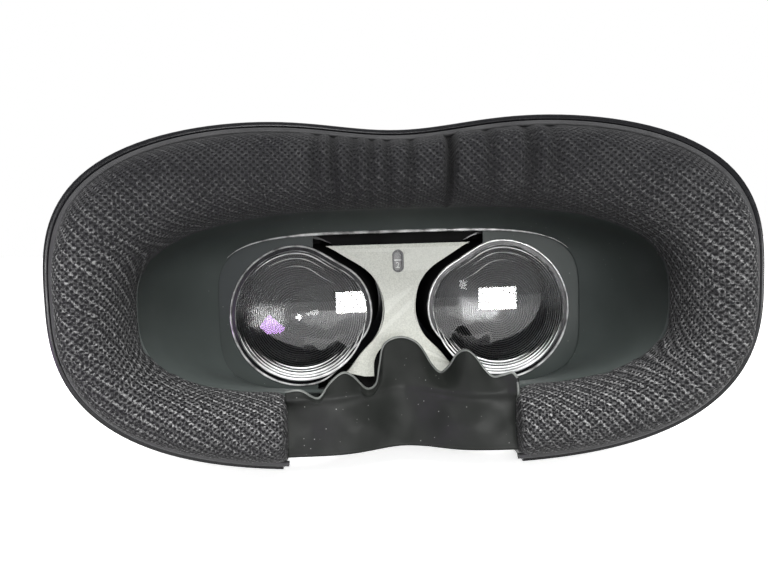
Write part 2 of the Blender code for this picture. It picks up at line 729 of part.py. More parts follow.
def camera(name, x, z):
    profile = [
        (0, 1.0), (2.8, 0.5), (3.4, 0.0), (4.2, 0.0), (4.4, 0.6),
        (6.1, 0.5), (6.1, -3.0), (4.6, -3.0), (4.6, -8.0), (0, -8.0),
    ]
    return smooth(turned(name, profile, (x, COVER_FRONT - 0.1, z), (0, 1, 0), GLOSS, steps=16), 30)


def strap_lug(name, side):
    """A flat loop for the head strap, hung on its pivot."""
    arc = [math.radians(a) for a in range(-75, 76, 25)]
    edge = [(LUG_PIVOT_Y + 7 * math.cos(a), LUG_PIVOT_Z + 7 * math.sin(a)) for a in arc]
    edge += [(16.0, LUG_PIVOT_Z + 17.0), (8.5, LUG_PIVOT_Z + 17.0), (6.0, LUG_PIVOT_Z + 14.5)]
    edge += [(6.0, LUG_PIVOT_Z - 14.5), (8.5, LUG_PIVOT_Z - 17.0), (16.0, LUG_PIVOT_Z - 17.0)]
    slot = rounded((8.6, LUG_PIVOT_Z - 13.2), (13.4, LUG_PIVOT_Z + 13.2), 1.6)
    low, high = sorted((side * (BODY_HALF_WIDTH + 0.5), side * (BODY_HALF_WIDTH + 3.3)))
    pivot = circle(LUG_PIVOT_Y, LUG_PIVOT_Z, 2.6)
    return plate(name, [edge, slot, pivot], low, high, SHELL, plane="YZ")


def lug_pin(name, side):
    """A shouldered pin through the lug and the casing's wall."""
    profile = [(0, 1.1), (3.4, 0.9), (4.0, 0.3), (4.0, 0), (2.2, 0), (2.2, -8.0), (0, -8.0)]
    at = (side * (BODY_HALF_WIDTH + 3.6), LUG_PIVOT_Y, LUG_PIVOT_Z)
    return smooth(turned(name, profile, at, (side, 0, 0), STEEL, steps=20))


# ---- Assembly ----
face = [face_frame(), inner_shroud(), face_cushion(), nose_flap()]
face.append(hook_tape("hook_tape_right", 41, 51))
face.append(hook_tape("hook_tape_left", 21, 31))
face.append(hook_tape("hook_tape_top", 9, 15))
moving("face_interface", (0, HOUSING_REAR, 0), face)

housing()
front_cover()
rear_frame()
lens_plate()
mid_frame()
plate("index_window", [rounded((-1.3, 13.3), (1.3, 19.7), 1.25)], 3.2, 4.2, CLEAR)

for hand, way, rack in (("left", -1, rack_left), ("right", 1, rack_right)):
    pieces = [barrel(f"barrel_{hand}", way), lens(f"lens_{hand}", way), rack()]
    moving(f"carriage_{hand}", (way * EYE_SPACING / 2, ROD_Y, ROD_Z), pieces)
    rail_bracket(f"rail_bracket_{hand}", way)
    lug_pin(f"lug_pin_{hand}", way)
    lug_at = (way * (BODY_HALF_WIDTH + 2), LUG_PIVOT_Y, LUG_PIVOT_Z)
    moving(f"lug_pivot_{hand}", lug_at, [strap_lug(f"strap_lug_{hand}", way)])

for hand, z in (("lower", -ROD_Z), ("upper", ROD_Z)):
    smooth(cylinder(f"guide_rod_{hand}", (-64.5, ROD_Y, z), (64.5, ROD_Y, z), ROD_RADIUS, STEEL))

gear = plate("spacing_gear", [gear_outline(), circle(0, GEAR_Z, 1.3)], *GEAR_Y, NYLON)
moving("gear_axis", (0, GEAR_Y[0], GEAR_Z), [gear])
pin_profile = [(0, 5.4), (1.0, 5.4), (1.0, 0.7), (2.2, 0.7), (2.2, 0), (0, 0)]
turned("gear_pin", pin_profile, (0, 7.5, GEAR_Z), (0, 1, 0), STEEL)

panel_hole = rounded((-54, -23), (54, 31), 3)
plate("display_frame", [rounded((-66, -29), (66, 37), 4), panel_hole], 33.6, 36.0, BLACK)
plate("display_panel", [rounded((-56.5, -26), (56.5, 34), 2)], 36.3, 38.0, GLASS)
board_holes = [circle(x, z, 1.4, 12) for x, z in BOARD_SCREWS]
plate("main_board", [rounded((-63, -24), (63, 37), 3)] + board_holes, 41.0, 42.4, BOARD)
block("processor", (-9, 42.7, 1), (5, 43.9, 15), BLACK)
heat_sink()
blower_housing()
moving("blower_axis", (FAN_X, 45, FAN_Z), [blower_wheel()])
plate("battery", [rounded((-54, -16), (-18, 34), 3)], 43.4, 52.0, CELL)

for number, (x, z) in enumerate([(side * CAMERA_X, z) for z in CAMERA_Z for side in (-1, 1)], 1):
    camera(f"camera_{number}", x, z)
light_profile = [(0, 0.3), (0.9, 0.2), (1.2, 0), (1.2, -3), (0, -3)]
turned("status_light", light_profile, (0, COVER_FRONT, 30), (0, 1, 0), LIGHT)

button_at = (BODY_HALF_WIDTH - 4.1, POWER_Y, POWER_Z)
button = [(0, 4.6), (3.6, 4.5), (4.3, 3.9), (POWER_RADIUS, 3.2), (POWER_RADIUS, 0), (0, 0)]
moving("power_axis", button_at, [smooth(turned("power_button", button, button_at, (1, 0, 0), GLOSS))])
block("power_switch", (73.5, POWER_Y - 3, POWER_Z - 3), (77.0, POWER_Y + 3, POWER_Z + 3), BLACK)
rocker_edge = rounded((ROCKER_X - 11, ROCKER_Z - 2.6), (ROCKER_X + 11, ROCKER_Z + 1.3), 1.2)
rocker = plate("volume_rocker", [rocker_edge], ROCKER_Y - 3, ROCKER_Y + 3, GLOSS)
moving("rocker_axis", (ROCKER_X, ROCKER_Y, ROCKER_Z - 1), [rocker])
usb_edges = [rounded((15.4, PORT_Z - 1.7), (24.6, PORT_Z + 1.7), 1.5)]
usb_edges.append(rounded((15.9, PORT_Z - 1.2), (24.1, PORT_Z + 1.2), 1.1))
plate("usb_port", usb_edges, -81.2, -74.0, STEEL, plane="YZ")
plate("audio_jack", [circle(34, PORT_Z, 3.2), circle(34, PORT_Z, 1.8)], -81.4, -71.0, BLACK, plane="YZ")

number = 1
for x in (-POST_X, POST_X):
    for z in POST_Z:
        screw(f"rear_screw_{number}", (x, 4.7, z), (0, -1, 0))
        number += 1
for number, (x, z) in enumerate(BOARD_SCREWS, 1):
    screw(f"board_screw_{number}", (x, 42.7, z), (0, 1, 0))
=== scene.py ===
"""Looks of the video goggles: fabric, optics, mouldings and the studio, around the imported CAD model.

Lengths are millimetres from the point midway between the lens centres, x to the wearer's right,
y away from the wearer, z up, as in the CAD model. world() turns them into metres in the row frame.
"""

import json
import math

import bmesh
import bpy
import numpy as np
from mathutils import Matrix, Vector

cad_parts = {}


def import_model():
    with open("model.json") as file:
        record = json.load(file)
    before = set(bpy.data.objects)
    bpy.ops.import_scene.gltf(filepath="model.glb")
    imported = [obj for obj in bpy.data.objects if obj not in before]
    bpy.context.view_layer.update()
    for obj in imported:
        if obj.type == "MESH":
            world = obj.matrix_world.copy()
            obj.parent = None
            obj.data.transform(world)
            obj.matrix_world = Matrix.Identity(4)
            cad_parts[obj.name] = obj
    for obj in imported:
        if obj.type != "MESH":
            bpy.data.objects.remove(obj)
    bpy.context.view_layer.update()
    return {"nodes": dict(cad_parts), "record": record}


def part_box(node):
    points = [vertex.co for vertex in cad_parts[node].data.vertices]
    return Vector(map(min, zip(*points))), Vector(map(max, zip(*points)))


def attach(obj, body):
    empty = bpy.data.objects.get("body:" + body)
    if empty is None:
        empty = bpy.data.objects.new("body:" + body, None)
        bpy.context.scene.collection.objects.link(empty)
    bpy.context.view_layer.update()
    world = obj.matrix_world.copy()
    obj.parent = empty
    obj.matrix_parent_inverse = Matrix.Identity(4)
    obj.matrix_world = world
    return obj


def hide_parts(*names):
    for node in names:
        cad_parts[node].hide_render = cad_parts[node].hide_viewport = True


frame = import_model()

MM = 0.001
LENS_BACK = 1.6  # the lenses' flat rear face, behind the lens plane


def optic_centre():
    rod_low, rod_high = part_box("guide_rod_lower")[0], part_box("guide_rod_upper")[1]
    return Vector((0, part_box("lens_left")[1].y - LENS_BACK * MM, (rod_low.z + rod_high.z) / 2))


OPTIC = optic_centre()
BASE = -OPTIC.z / MM

# ---- Sizes of the forms, as the CAD model has them ----
EYE_SPACING = 63.0
LENS_RADIUS = 22.8
WALL = 2.2
BODY = {"half_width": 82.0, "upper": 48.0, "lower": 51.0, "centre": 5.2, "power": 3.4}
RIM = {"half_width": 86.2, "centre": 10.0, "top": (48.0, 3.1), "bottom": (53.2, 2.55)}
BROW_DIP, BROW_WIDTH = 3.8, 26.0
OPENING = (69.4, 26.5, 6.0, 2.9)  # half width, half height, centre height, power
LENS_END = (58.5, 26.2, 0.6, 4.3)  # the shroud's edge at the lenses, given as the opening is
CREST_DEPTH, CREST_WRAP, TEMPLE_X = 31.5, 22.6, 76.0
PAD_THICKNESS = 17.0
LEDGE = PAD_THICKNESS + 1.4  # behind the crest
NOSE_ENDS = (-33.2, 31.0)  # the lobes' ends; the padding sits a little to the left on its carrier
HOUSING_REAR, HOUSING_FRONT, COVER_FRONT = 2.7, 44.0, 62.0
PORT_Z = -8.0
ROCKER = (30.0, 24.0)
LUG_PIVOT = (32.0, 10.0)
CAMERAS = ("camera_1", "camera_2", "camera_3", "camera_4")
STATIONS = 192


# ---- Points and outlines ----
def world(points):
    return np.asarray(points, float) * MM + np.array(OPTIC)


def spot(x, y, z):
    return Vector(world([(x, y, z)])[0])


def angles(count):
    return 2 * math.pi * np.arange(count) / count


ALL_ROUND = angles(STATIONS)


def superellipse(turn, half_width, top, bottom, centre):
    """Points of an oval whose upper and lower halves have their own (height, power)."""
    c, s = np.cos(turn), np.sin(turn)
    height = np.where(s > 0, top[0], bottom[0])
    power = np.where(s > 0, top[1], bottom[1])
    reach = (np.abs(c) ** power + np.abs(s) ** power) ** (-1 / power)
    return half_width * c * reach, centre + height * s * reach


def body_oval(inset, turn=ALL_ROUND, floor_inset=None):
    upper, lower = ((BODY[half] - inset, BODY["power"]) for half in ("upper", "lower"))
    x, z = superellipse(turn, BODY["half_width"] - inset, upper, lower, BODY["centre"])
    return x, np.maximum(z, BASE + (inset if floor_inset is None else floor_inset))


def rim_oval(inset, turn=ALL_ROUND):
    halves = [(RIM[half][0] - inset, RIM[half][1]) for half in ("top", "bottom")]
    x, z = superellipse(turn, RIM["half_width"] - inset, *halves, RIM["centre"])
    z = z - np.where(np.sin(turn) > 0, BROW_DIP * np.exp(-((x / BROW_WIDTH) ** 2)), 0)
    return x, np.maximum(z, BASE + inset)


def opening_oval(outset, turn=ALL_ROUND, share=0.0):
    """The padding's opening, or the shroud's outline that share of the way to the lenses."""
    width, height, centre, power = (a + (b - a) * share for a, b in zip(OPENING, LENS_END))
    half = (height + outset, power)
    return superellipse(turn, width + outset, half, half, centre)


def crest(x):
    return CREST_DEPTH + CREST_WRAP * (np.asarray(x) / TEMPLE_X) ** 2


def at_depth(outline, y):
    """The outline's points as (x, y, z), where y is a number or a function of x."""
    x, z = outline
    return np.stack([x, y(x) if callable(y) else np.full_like(x, y), z], axis=1)


def behind_crest(distance):
    return lambda x: distance - crest(x)


def between(first, second, share):
    return tuple(a + (b - a) * share for a, b in zip(first, second))


def lens_outline(side, offset=0.0, turn=angles(128)):
    """A circle flattened twice on its nose side."""
    degrees = np.degrees(turn)
    lower = 3.2 * np.exp(-(((degrees - 221) / 24) ** 2))
    upper = 2.0 * np.exp(-(((degrees - 122) / 22) ** 2))
    radius = LENS_RADIUS - lower - upper + offset
    return side * (EYE_SPACING / 2 + radius * np.cos(turn)), radius * np.sin(turn)


def smooth_path(points, count):
    """Evenly spaced points on a Catmull-Rom curve through the given ones."""
    points = np.asarray(points, float)
    padded = np.vstack([2 * points[0] - points[1], points, 2 * points[-1] - points[-2]])
    fine = []
    for i in range(1, len(padded) - 2):
        p0, p1, p2, p3 = padded[i - 1:i + 3]
        for t in np.linspace(0, 1, 40, endpoint=False):
            fine.append(
                0.5 * (2 * p1 + (p2 - p0) * t + (2 * p0 - 5 * p1 + 4 * p2 - p3) * t**2
                       + (3 * p1 - p0 - 3 * p2 + p3) * t**3)
            )
    fine.append(points[-1])
    return resample(np.array(fine), count)


def resample(path, count):
    steps = np.linalg.norm(np.diff(path, axis=0), axis=1)
    along = np.concatenate([[0], np.cumsum(steps)])
    wanted = np.linspace(0, along[-1], count)
    return np.stack([np.interp(wanted, along, path[:, k]) for k in range(path.shape[1])], axis=1)


# ---- Mesh helpers ----
def add_object(name, mesh):
    made = bpy.data.objects.new(name, mesh)
    bpy.context.scene.collection.objects.link(made)
    return made


def mesh_object(name, points, faces):
    mesh = bpy.data.meshes.new(name)
    mesh.from_pydata(world(points).tolist(), [], faces)
    return tidy(add_object(name, mesh))


def tidy(obj):
    """Faces out, round parts smooth, crisp edges sharp."""
    bm = bmesh.new()
    bm.from_mesh(obj.data)
    bmesh.ops.remove_doubles(bm, verts=bm.verts, dist=1e-6)
    bmesh.ops.recalc_face_normals(bm, faces=bm.faces)
    bm.to_mesh(obj.data)
    bm.free()
    obj.data.shade_smooth()
    obj.data.set_sharp_from_angle(angle=math.radians(40))
    return obj


def ring_faces(rows, count, total):
    """Quads from each given row of points to the next; the last row's next is the first."""
    faces = []
    for row in rows:
        near, far = row * count, (row + 1) % total * count
        faces += [(near + i, near + (i + 1) % count, far + (i + 1) % count, far + i) for i in range(count)]
    return faces


def skin(name, rings, closed=True):
    """Faces over rings of points. Closed joins the last ring to the first, otherwise both are capped."""
    total, count = len(rings), len(rings[0])
    faces = ring_faces(range(total if closed else total - 1), count, total)
    if not closed:
        faces += [tuple(range(count)), tuple(range((total - 1) * count, total * count))]
    return mesh_object(name, np.vstack(rings), faces)


def prism(name, outline, low, high, plane="XZ", bevel=0.0):
    """An outline given depth along the third axis, with its edges rounded by bevel."""
    curve = bpy.data.curves.new(name, "CURVE")
    curve.dimensions = "2D"
    curve.fill_mode = "BOTH"
    curve.extrude = (high - low) / 2 * MM
    for loop in outline:
        spline = curve.splines.new("POLY")
        spline.points.add(len(loop) - 1)
        for point, (u, v) in zip(spline.points, loop):
            point.co = (u * MM, v * MM, 0, 1)
        spline.use_cyclic_u = True
    flat = add_object(name, curve)
    turn, place = {
        "XZ": ((math.pi / 2, 0, 0), (0, (low + high) / 2, 0)),
        "YZ": ((math.pi / 2, 0, math.pi / 2), ((low + high) / 2, 0, 0)),
        "XY": ((0, 0, 0), (0, 0, (low + high) / 2)),
    }[plane]
    flat.rotation_euler = turn
    flat.location = spot(*place)
    made = as_mesh(flat)
    if bevel:
        round_edges(made, bevel)
    return made


def evaluated_mesh(obj):
    """A copy of the object's mesh as its modifiers leave it."""
    bpy.context.view_layer.update()
    return bpy.data.meshes.new_from_object(obj.evaluated_get(bpy.context.evaluated_depsgraph_get()))


def apply_modifiers(obj):
    mesh = evaluated_mesh(obj)
    obj.modifiers.clear()
    obj.data = mesh
    return obj


def as_mesh(obj):
    """A mesh in place of the object, with its vertices in the row frame."""
    mesh = evaluated_mesh(obj)
    mesh.transform(obj.matrix_world)
    name = obj.name
    bpy.data.objects.remove(obj)
    return tidy(add_object(name, mesh))


def round_edges(obj, width, angle=32):
    bevel = obj.modifiers.new("round", "BEVEL")
    bevel.width = width * MM
    bevel.segments = 3
    bevel.limit_method = "ANGLE"
    bevel.angle_limit = math.radians(angle)
    bevel.harden_normals = True
    return obj


def box_mesh(name, low, high, bevel=0.0):
    low, high = spot(*low), spot(*high)
    bm = bmesh.new()
    place = Matrix.Translation((low + high) / 2) @ Matrix.Diagonal((*(high - low), 1))
    bmesh.ops.create_cube(bm, size=1, matrix=place)
    mesh = bpy.data.meshes.new(name)
    bm.to_mesh(mesh)
    bm.free()
    made = tidy(add_object(name, mesh))
    return round_edges(made, bevel) if bevel else made


def turned(name, profile, at, axis, steps=64):
    """A lathe form: (radius, height) pairs from the top of its outer side down, along axis from at."""
    upright = Vector(axis).to_track_quat("Z", "Y").to_matrix()
    points = [
        tuple(Vector(at) + upright @ Vector((radius * math.cos(a), radius * math.sin(a), height)))
        for radius, height in profile for a in angles(steps)
    ]
    rows = len(profile)
    faces = ring_faces(range(rows - 1), steps, rows)
    for row in (0, rows - 1):
        if profile[row][0] > 0.01:
            faces.append(tuple(range(row * steps, (row + 1) * steps)))
    return mesh_object(name, points, faces)


def rod(name, start, end, radius, steps=48):
    start, end = Vector(start), Vector(end)
    return turned(name, [(radius, (end - start).length), (radius, 0)], start, end - start, steps)


def cut(obj, tools, operation="DIFFERENCE"):
    """Booleans applied one after another; the tools are removed."""
    for tool in tools:
        modifier = obj.modifiers.new("cut", "BOOLEAN")
        modifier.operation = operation
        modifier.object = tool
    apply_modifiers(obj)
    for tool in tools:
        bpy.data.objects.remove(tool)
    return tidy(obj)


def tube(name, path, radius, steps=12, taper=0.0):
    """A round tube along a path, thinned at both ends over the taper's share of its length."""
    curve = bpy.data.curves.new(name, "CURVE")
    curve.dimensions = "3D"
    curve.bevel_depth = radius * MM
    curve.bevel_resolution = max(1, steps // 4)
    curve.use_fill_caps = True
    spline = curve.splines.new("POLY")
    spline.points.add(len(path) - 1)
    for point, co, share in zip(spline.points, world(path), np.linspace(0, 1, len(path))):
        point.co = (*co, 1)
        if taper:
            point.radius = 0.08 + 0.92 * min(1, share / taper, (1 - share) / taper)
    return as_mesh(add_object(name, curve))


def rounded(low, high, radius):
    """A rectangle's outline with round corners."""
    points = []
    for quarter, (u, v) in enumerate((high, (low[0], high[1]), low, (high[0], low[1]))):
        centre_u = u - radius if u == high[0] else u + radius
        centre_v = v - radius if v == high[1] else v + radius
        for a in math.pi / 2 * (quarter + np.arange(11) / 10):
            points.append((centre_u + radius * math.cos(a), centre_v + radius * math.sin(a)))
    return points


def circle(u, v, radius):
    return [(u + radius * math.cos(a), v + radius * math.sin(a)) for a in angles(48)]


def use(obj, body, surface, replaces=()):
    """Gives a finished piece its body and material, and hides the CAD nodes that it stands for."""
    obj.data.materials.clear()
    obj.data.materials.append(surface)
    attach(obj, body)
    if replaces:
        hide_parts(*replaces)


# ---- Materials ----
class Surface:
    """A Principled material with short names for the nodes used here."""

    def __init__(self, name, colour, roughness, **sockets):
        self.material = bpy.data.materials.new(name)
        self.material.use_nodes = True
        self.tree = self.material.node_tree
        self.shader = self.tree.nodes["Principled BSDF"]
        self.shader.inputs["Base Color"].default_value = (*colour, 1)
        self.shader.inputs["Roughness"].default_value = roughness
        for socket, value in sockets.items():
            self.shader.inputs[socket.replace("_", " ")].default_value = value

    def node(self, kind, **settings):
        made = self.tree.nodes.new("ShaderNode" + kind)
        for key, value in settings.items():
            if key in made.inputs.keys():
                made.inputs[key].default_value = value
            else:
                setattr(made, key, value)
        return made

    def link(self, source, target):
        self.tree.links.new(source, target)

    def place(self, stretch=(1, 1, 1)):
        """Object coordinates, which are metres in the row frame."""
        mapping = self.node("Mapping")
        mapping.inputs["Scale"].default_value = stretch
        self.link(self.node("TexCoord").outputs["Object"], mapping.inputs["Vector"])
        return mapping.outputs["Vector"]

    def noise(self, per_metre, detail=3.0, rough=0.5, stretch=(1, 1, 1)):
        made = self.node("TexNoise", Scale=per_metre, Detail=detail, Roughness=rough)
        self.link(self.place(stretch), made.inputs["Vector"])
        return made.outputs["Fac"]

    def cells(self, per_metre):
        made = self.node("TexVoronoi", Scale=per_metre)
        self.link(self.place(), made.inputs["Vector"])
        return made.outputs["Distance"]

    def ramp(self, value, *stops):
        """Maps a value to colours or greys at stops (position, grey or colour)."""
        made = self.node("ValToRGB")
        elements = made.color_ramp.elements
        while len(elements) < len(stops):
            elements.new(0.5)
        for element, (position, tone) in zip(elements, stops):
            element.position = position
            element.color = (*tone, 1) if isinstance(tone, tuple) else (tone, tone, tone, 1)
        self.link(value, made.inputs["Fac"])
        return made.outputs["Color"]

    def feed(self, socket, value):
        """Links an output to the socket, or sets the socket to a number or colour."""
        if isinstance(value, (int, float)):
            socket.default_value = value
        elif isinstance(value, tuple):
            socket.default_value = (*value, 1)
        else:
            self.link(value, socket)

    def maths(self, operation, *values):
        made = self.node("Math", operation=operation)
        for socket, value in zip(made.inputs, values):
            self.feed(socket, value)
        return made.outputs["Value"]

    def mix(self, factor, first, second):
        made = self.node("Mix", data_type="RGBA")
        for socket, value in ((0, factor), (6, first), (7, second)):
            self.feed(made.inputs[socket], value)
        return made.outputs[2]

    def colour(self, value):
        self.link(value, self.shader.inputs["Base Color"])
        return self

    def roughness(self, value):
        self.link(value, self.shader.inputs["Roughness"])
        return self

    def bump(self, *layers):
        """Bumps on top of each other, each (height, depth in millimetres, strength)."""
        normal = None
        for height, depth, strength in layers:
            made = self.node("Bump", Strength=strength, Distance=depth * MM)
            self.link(height, made.inputs["Height"])
            if normal:
                self.link(normal, made.inputs["Normal"])
            normal = made.outputs["Normal"]
        self.link(normal, self.shader.inputs["Normal"])
        return self

    def dusty(self, base, dust, amount, per_metre=420):
        """A base colour with small pale specks here and there."""
        specks = self.ramp(self.cells(per_metre), (0.0, 1.0), (0.055, 1.0), (0.085, 0.0))
        patches = self.ramp(self.noise(55, 2), (0.48, 0.0), (0.66, amount))
        return self.mix(self.maths("MULTIPLY", specks, patches), base, dust)


HOLE_PITCH, RIB_PITCH = (1.75, 1.65), 3.45  # of the knit, in millimetres


def knit():
    """Black spacer knit: small holes between lit yarns, whose pale colour is a painted highlight, laid along
    the pad's weave attribute.
    """
    made = Surface("spacer_knit", (0.02, 0.02, 0.021), 0.75, Specular_IOR_Level=0.2, Sheen_Weight=0.02)
    weave = made.node("Attribute", attribute_name="weave")
    split = made.node("SeparateXYZ")
    made.link(weave.outputs["Vector"], split.inputs["Vector"])
    wobble = made.noise(60, 2)
    across = made.maths("MULTIPLY_ADD", wobble, 1.6, split.outputs["X"])
    along = made.maths("MULTIPLY_ADD", wobble, 1.1, split.outputs["Y"])
    wave_u = made.maths("COSINE", made.maths("MULTIPLY", across, 2 * math.pi / HOLE_PITCH[0]))
    wave_v = made.maths("COSINE", made.maths("MULTIPLY", along, 2 * math.pi / HOLE_PITCH[1]))
    holes = made.ramp(made.maths("MULTIPLY", wave_u, wave_v), (0.12, 0.0), (0.60, 1.0))
    diagonal = made.maths("MULTIPLY", made.maths("ADD", across, along), 2 * math.pi / RIB_PITCH)
    ribs = made.ramp(made.maths("SINE", diagonal), (0.0, 0.35), (0.8, 1.0))
    yarn = made.noise(1900, 4, 0.7)
    height_split = made.node("SeparateXYZ")
    made.link(made.place((10, 10, 10)), height_split.inputs["Vector"])
    # Painted shade: the yarns' painted highlight fades towards the top of the pad, as if the upper pad were
    # less lit.
    painted_shade_by_height = made.ramp(height_split.outputs["Z"], (0.20, 1.0), (0.62, 0.75), (0.84, 0.10))
    # The yarns' pale grey is a painted highlight, standing for the sheen of their threads.
    painted_yarn_highlight = made.maths("MULTIPLY", made.ramp(yarn, (0.44, 0.0), (0.66, 1.0)), ribs)
    painted_yarn_highlight = made.maths("MULTIPLY", painted_yarn_highlight, painted_shade_by_height)
    tone = made.ramp(made.noise(90, 3), (0.35, (0.006, 0.006, 0.007)), (0.7, (0.014, 0.014, 0.015)))
    lit = made.mix(painted_yarn_highlight, tone, (0.36, 0.36, 0.36))
    # Painted shade in the brow's creases: the yarns go near black there.
    painted_crease_shade = made.node("Attribute", attribute_name="painted_crease_shade").outputs["Fac"]
    lit = made.mix(painted_crease_shade, lit, (0.002, 0.002, 0.002))
    made.colour(made.mix(holes, lit, (0.003, 0.003, 0.0035)))
    height = made.maths("SUBTRACT", made.maths("MULTIPLY", yarn, 0.5), holes)
    return made.bump((height, 0.45, 1.0)).material


def varied(name, colour, roughness, tone=None, wear=None, relief=None, **sockets):
    """A material that drifts over noise: tone in colour, wear in roughness, relief in its bump.

    Tone and wear hold what noise() takes, then two stops. Relief holds it, then depth and strength.
    """
    made = Surface(name, colour, roughness, **sockets)
    if tone:
        made.colour(made.ramp(made.noise(*tone[0]), *tone[1:]))
    if wear:
        made.roughness(made.ramp(made.noise(*wear[0]), *wear[1:]))
    if relief:
        made.bump((made.noise(*relief[0]), *relief[1:]))
    return made.material


def moulded(name, low, high, roughness, grain=3200, depth=0.03, **sockets):
    """A moulded plastic with a fine grain, slight mottling and uneven sheen."""
    tone = ((130, 4), (0.3, low), (0.7, high))
    wear = ((70, 3), (0.3, roughness - 0.05), (0.7, roughness + 0.05))
    return varied(name, high, roughness, tone, wear, ((grain, 2), depth, 0.6), **sockets)


def slate(name, shade):
    made = Surface(name, (0.05, 0.06, 0.058), 0.5, Specular_IOR_Level=0.15)
    low, high = (0.052, 0.061, 0.058), (0.068, 0.078, 0.075)
    low, high = (tuple(shade * part for part in tone) for tone in (low, high))
    tone = made.ramp(made.noise(45, 3), (0.3, low), (0.75, high))
    made.colour(made.dusty(tone, (0.30, 0.31, 0.30), 0.5))
    made.roughness(made.ramp(made.noise(38, 3), (0.3, 0.40), (0.7, 0.50)))
    return made.bump((made.noise(2200, 2), 0.012, 0.5)).material


def silicone():
    made = Surface("dark_silicone", (0.04, 0.043, 0.042), 0.5, Specular_IOR_Level=0.12)
    tone = made.ramp(made.noise(60, 4), (0.3, (0.008, 0.009, 0.008)), (0.7, (0.015, 0.016, 0.015)))
    made.colour(made.dusty(tone, (0.34, 0.35, 0.33), 0.8, 520))
    made.roughness(made.ramp(made.noise(80, 4), (0.3, 0.36), (0.7, 0.52)))
    return made.bump((made.noise(70, 2), 2.5, 0.5), (made.noise(1500, 3), 0.03, 0.5)).material


def gloss(name):
    wear = ((260, 5, 0.7), (0.35, 0.20), (0.75, 0.36))
    scratches = ((700, 4, 0.7, (1, 0.15, 1)), 0.008, 0.4)
    return varied(name, (0.006, 0.006, 0.007), 0.25, None, wear, scratches, Specular_IOR_Level=0.2)


def grained_grey():
    """The lens plate's grey, with its bead-blasted grain and edges paler from wear."""
    made = Surface("grained_grey", (0.25, 0.26, 0.24), 0.5, Specular_IOR_Level=0.4)
    grain = made.noise(2600, 3, 0.65)
    tone = made.ramp(grain, (0.30, (0.36, 0.37, 0.33)), (0.70, (0.60, 0.61, 0.55)))
    edge = made.ramp(made.node("NewGeometry").outputs["Pointiness"], (0.505, 0.0), (0.56, 0.45))
    made.colour(made.mix(edge, tone, (0.72, 0.73, 0.68)))
    return made.bump((grain, 0.06, 0.8)).material


def clear_plastics():
    """Lens, ground groove risers, risers and steps painted white as highlights, a pale edge that is a painted
    highlight, and film.
    """
    lit = ((140, 3), (0.35, 0.45), (0.6, 0.97))
    return [
        varied("clear_optic", (0.97, 0.98, 0.98), 0.015, wear=((120, 3), (0.4, 0.01), (0.8, 0.05)),
               Transmission_Weight=1.0, IOR=1.49),
        varied("groove_risers", (0.22, 0.22, 0.22), 0.5, wear=((900, 3), (0.3, 0.4), (0.7, 0.6)),
               Transmission_Weight=0.9, IOR=1.2),
        varied("lit_risers", (0.95, 0.95, 0.95), 0.4, lit, Transmission_Weight=0.15, IOR=1.3),
        varied("lit_steps", (0.95, 0.95, 0.95), 0.4, lit, IOR=1.3),
        # A pale edge whose colour is a painted highlight, for the lens rim, ridge and the shroud's bead.
        varied("painted_highlight_edge", (0.5, 0.51, 0.5), 0.12, ((220, 3), (0.35, 0.12), (0.62, 0.62)),
               Specular_IOR_Level=0.6, Coat_Weight=0.5),
        varied("window_film", (0.9, 0.9, 0.9), 0.1, wear=((300, 3), (0.3, 0.06), (0.7, 0.2)), Alpha=0.1),
    ]


def pale_edge(name):
    """The thin silicone edge, painted paler than the sheet as a highlight where the edge catches the light.
    """
    tone = ((160, 3), (0.35, (0.07, 0.075, 0.07)), (0.7, (0.17, 0.18, 0.17)))
    return varied(name, (0.12, 0.13, 0.12), 0.4, tone, relief=((1500, 3), 0.02, 0.4))


def brushed(name, colour, roughness, stretch=(1, 1, 14)):
    lines = (900, 4, 0.6, stretch)
    wear = (lines, (0.3, roughness - 0.08), (0.7, roughness + 0.1))
    return varied(name, colour, roughness, None, wear, (lines, 0.006, 0.4), Metallic=1.0)


def circuit():
    made = Surface("circuit_board", (0.01, 0.06, 0.035), 0.4)
    traces = made.node("TexBrick", Scale=420.0)
    made.link(made.place(), traces.inputs["Vector"])
    for socket, tone in (("Color1", (0.010, 0.060, 0.035)), ("Color2", (0.014, 0.075, 0.042))):
        traces.inputs[socket].default_value = (*tone, 1)
    traces.inputs["Mortar"].default_value = (0.05, 0.12, 0.06, 1)
    made.colour(traces.outputs["Color"])
    return made.bump((traces.outputs["Fac"], 0.05, 0.4)).material


def screen(name):
    """The display's polished face, which mirrors what comes in through the lenses."""
    wear = ((60, 2), (0.3, 0.06), (0.7, 0.14))
    return varied(name, (0.02, 0.02, 0.024), 0.08, wear=wear, Specular_IOR_Level=0.3)


KNIT = knit()
SLATE = slate("slate_soft_touch", 1.0)
# A darker copy of the slate: painted shade beside the lenses.
SHADED_SLATE = slate("slate_apron_painted_shade", 0.7)
SILICONE = silicone()
GLOSS = gloss("gloss_black")
GREY = grained_grey()
CLEAR, FROSTED, LIT_GROOVES, LIT_STEP, BRIGHT_EDGE, GLAZING = clear_plastics()
PALE_EDGE = pale_edge("silicone_edge_painted_highlight")
BLACK = moulded("black_moulding", (0.008, 0.008, 0.009), (0.014, 0.014, 0.015), 0.38)
MATTE = moulded("matte_baffle", (0.004, 0.004, 0.004), (0.008, 0.008, 0.008), 0.85, Specular_IOR_Level=0.08)
SHELL = moulded("charcoal_shell", (0.026, 0.027, 0.029), (0.036, 0.037, 0.040), 0.50, 4200, 0.04)
STEEL = brushed("ground_steel", (0.56, 0.56, 0.57), 0.28, (14, 1, 1))
ALLOY = brushed("stamped_alloy", (0.58, 0.59, 0.60), 0.38)
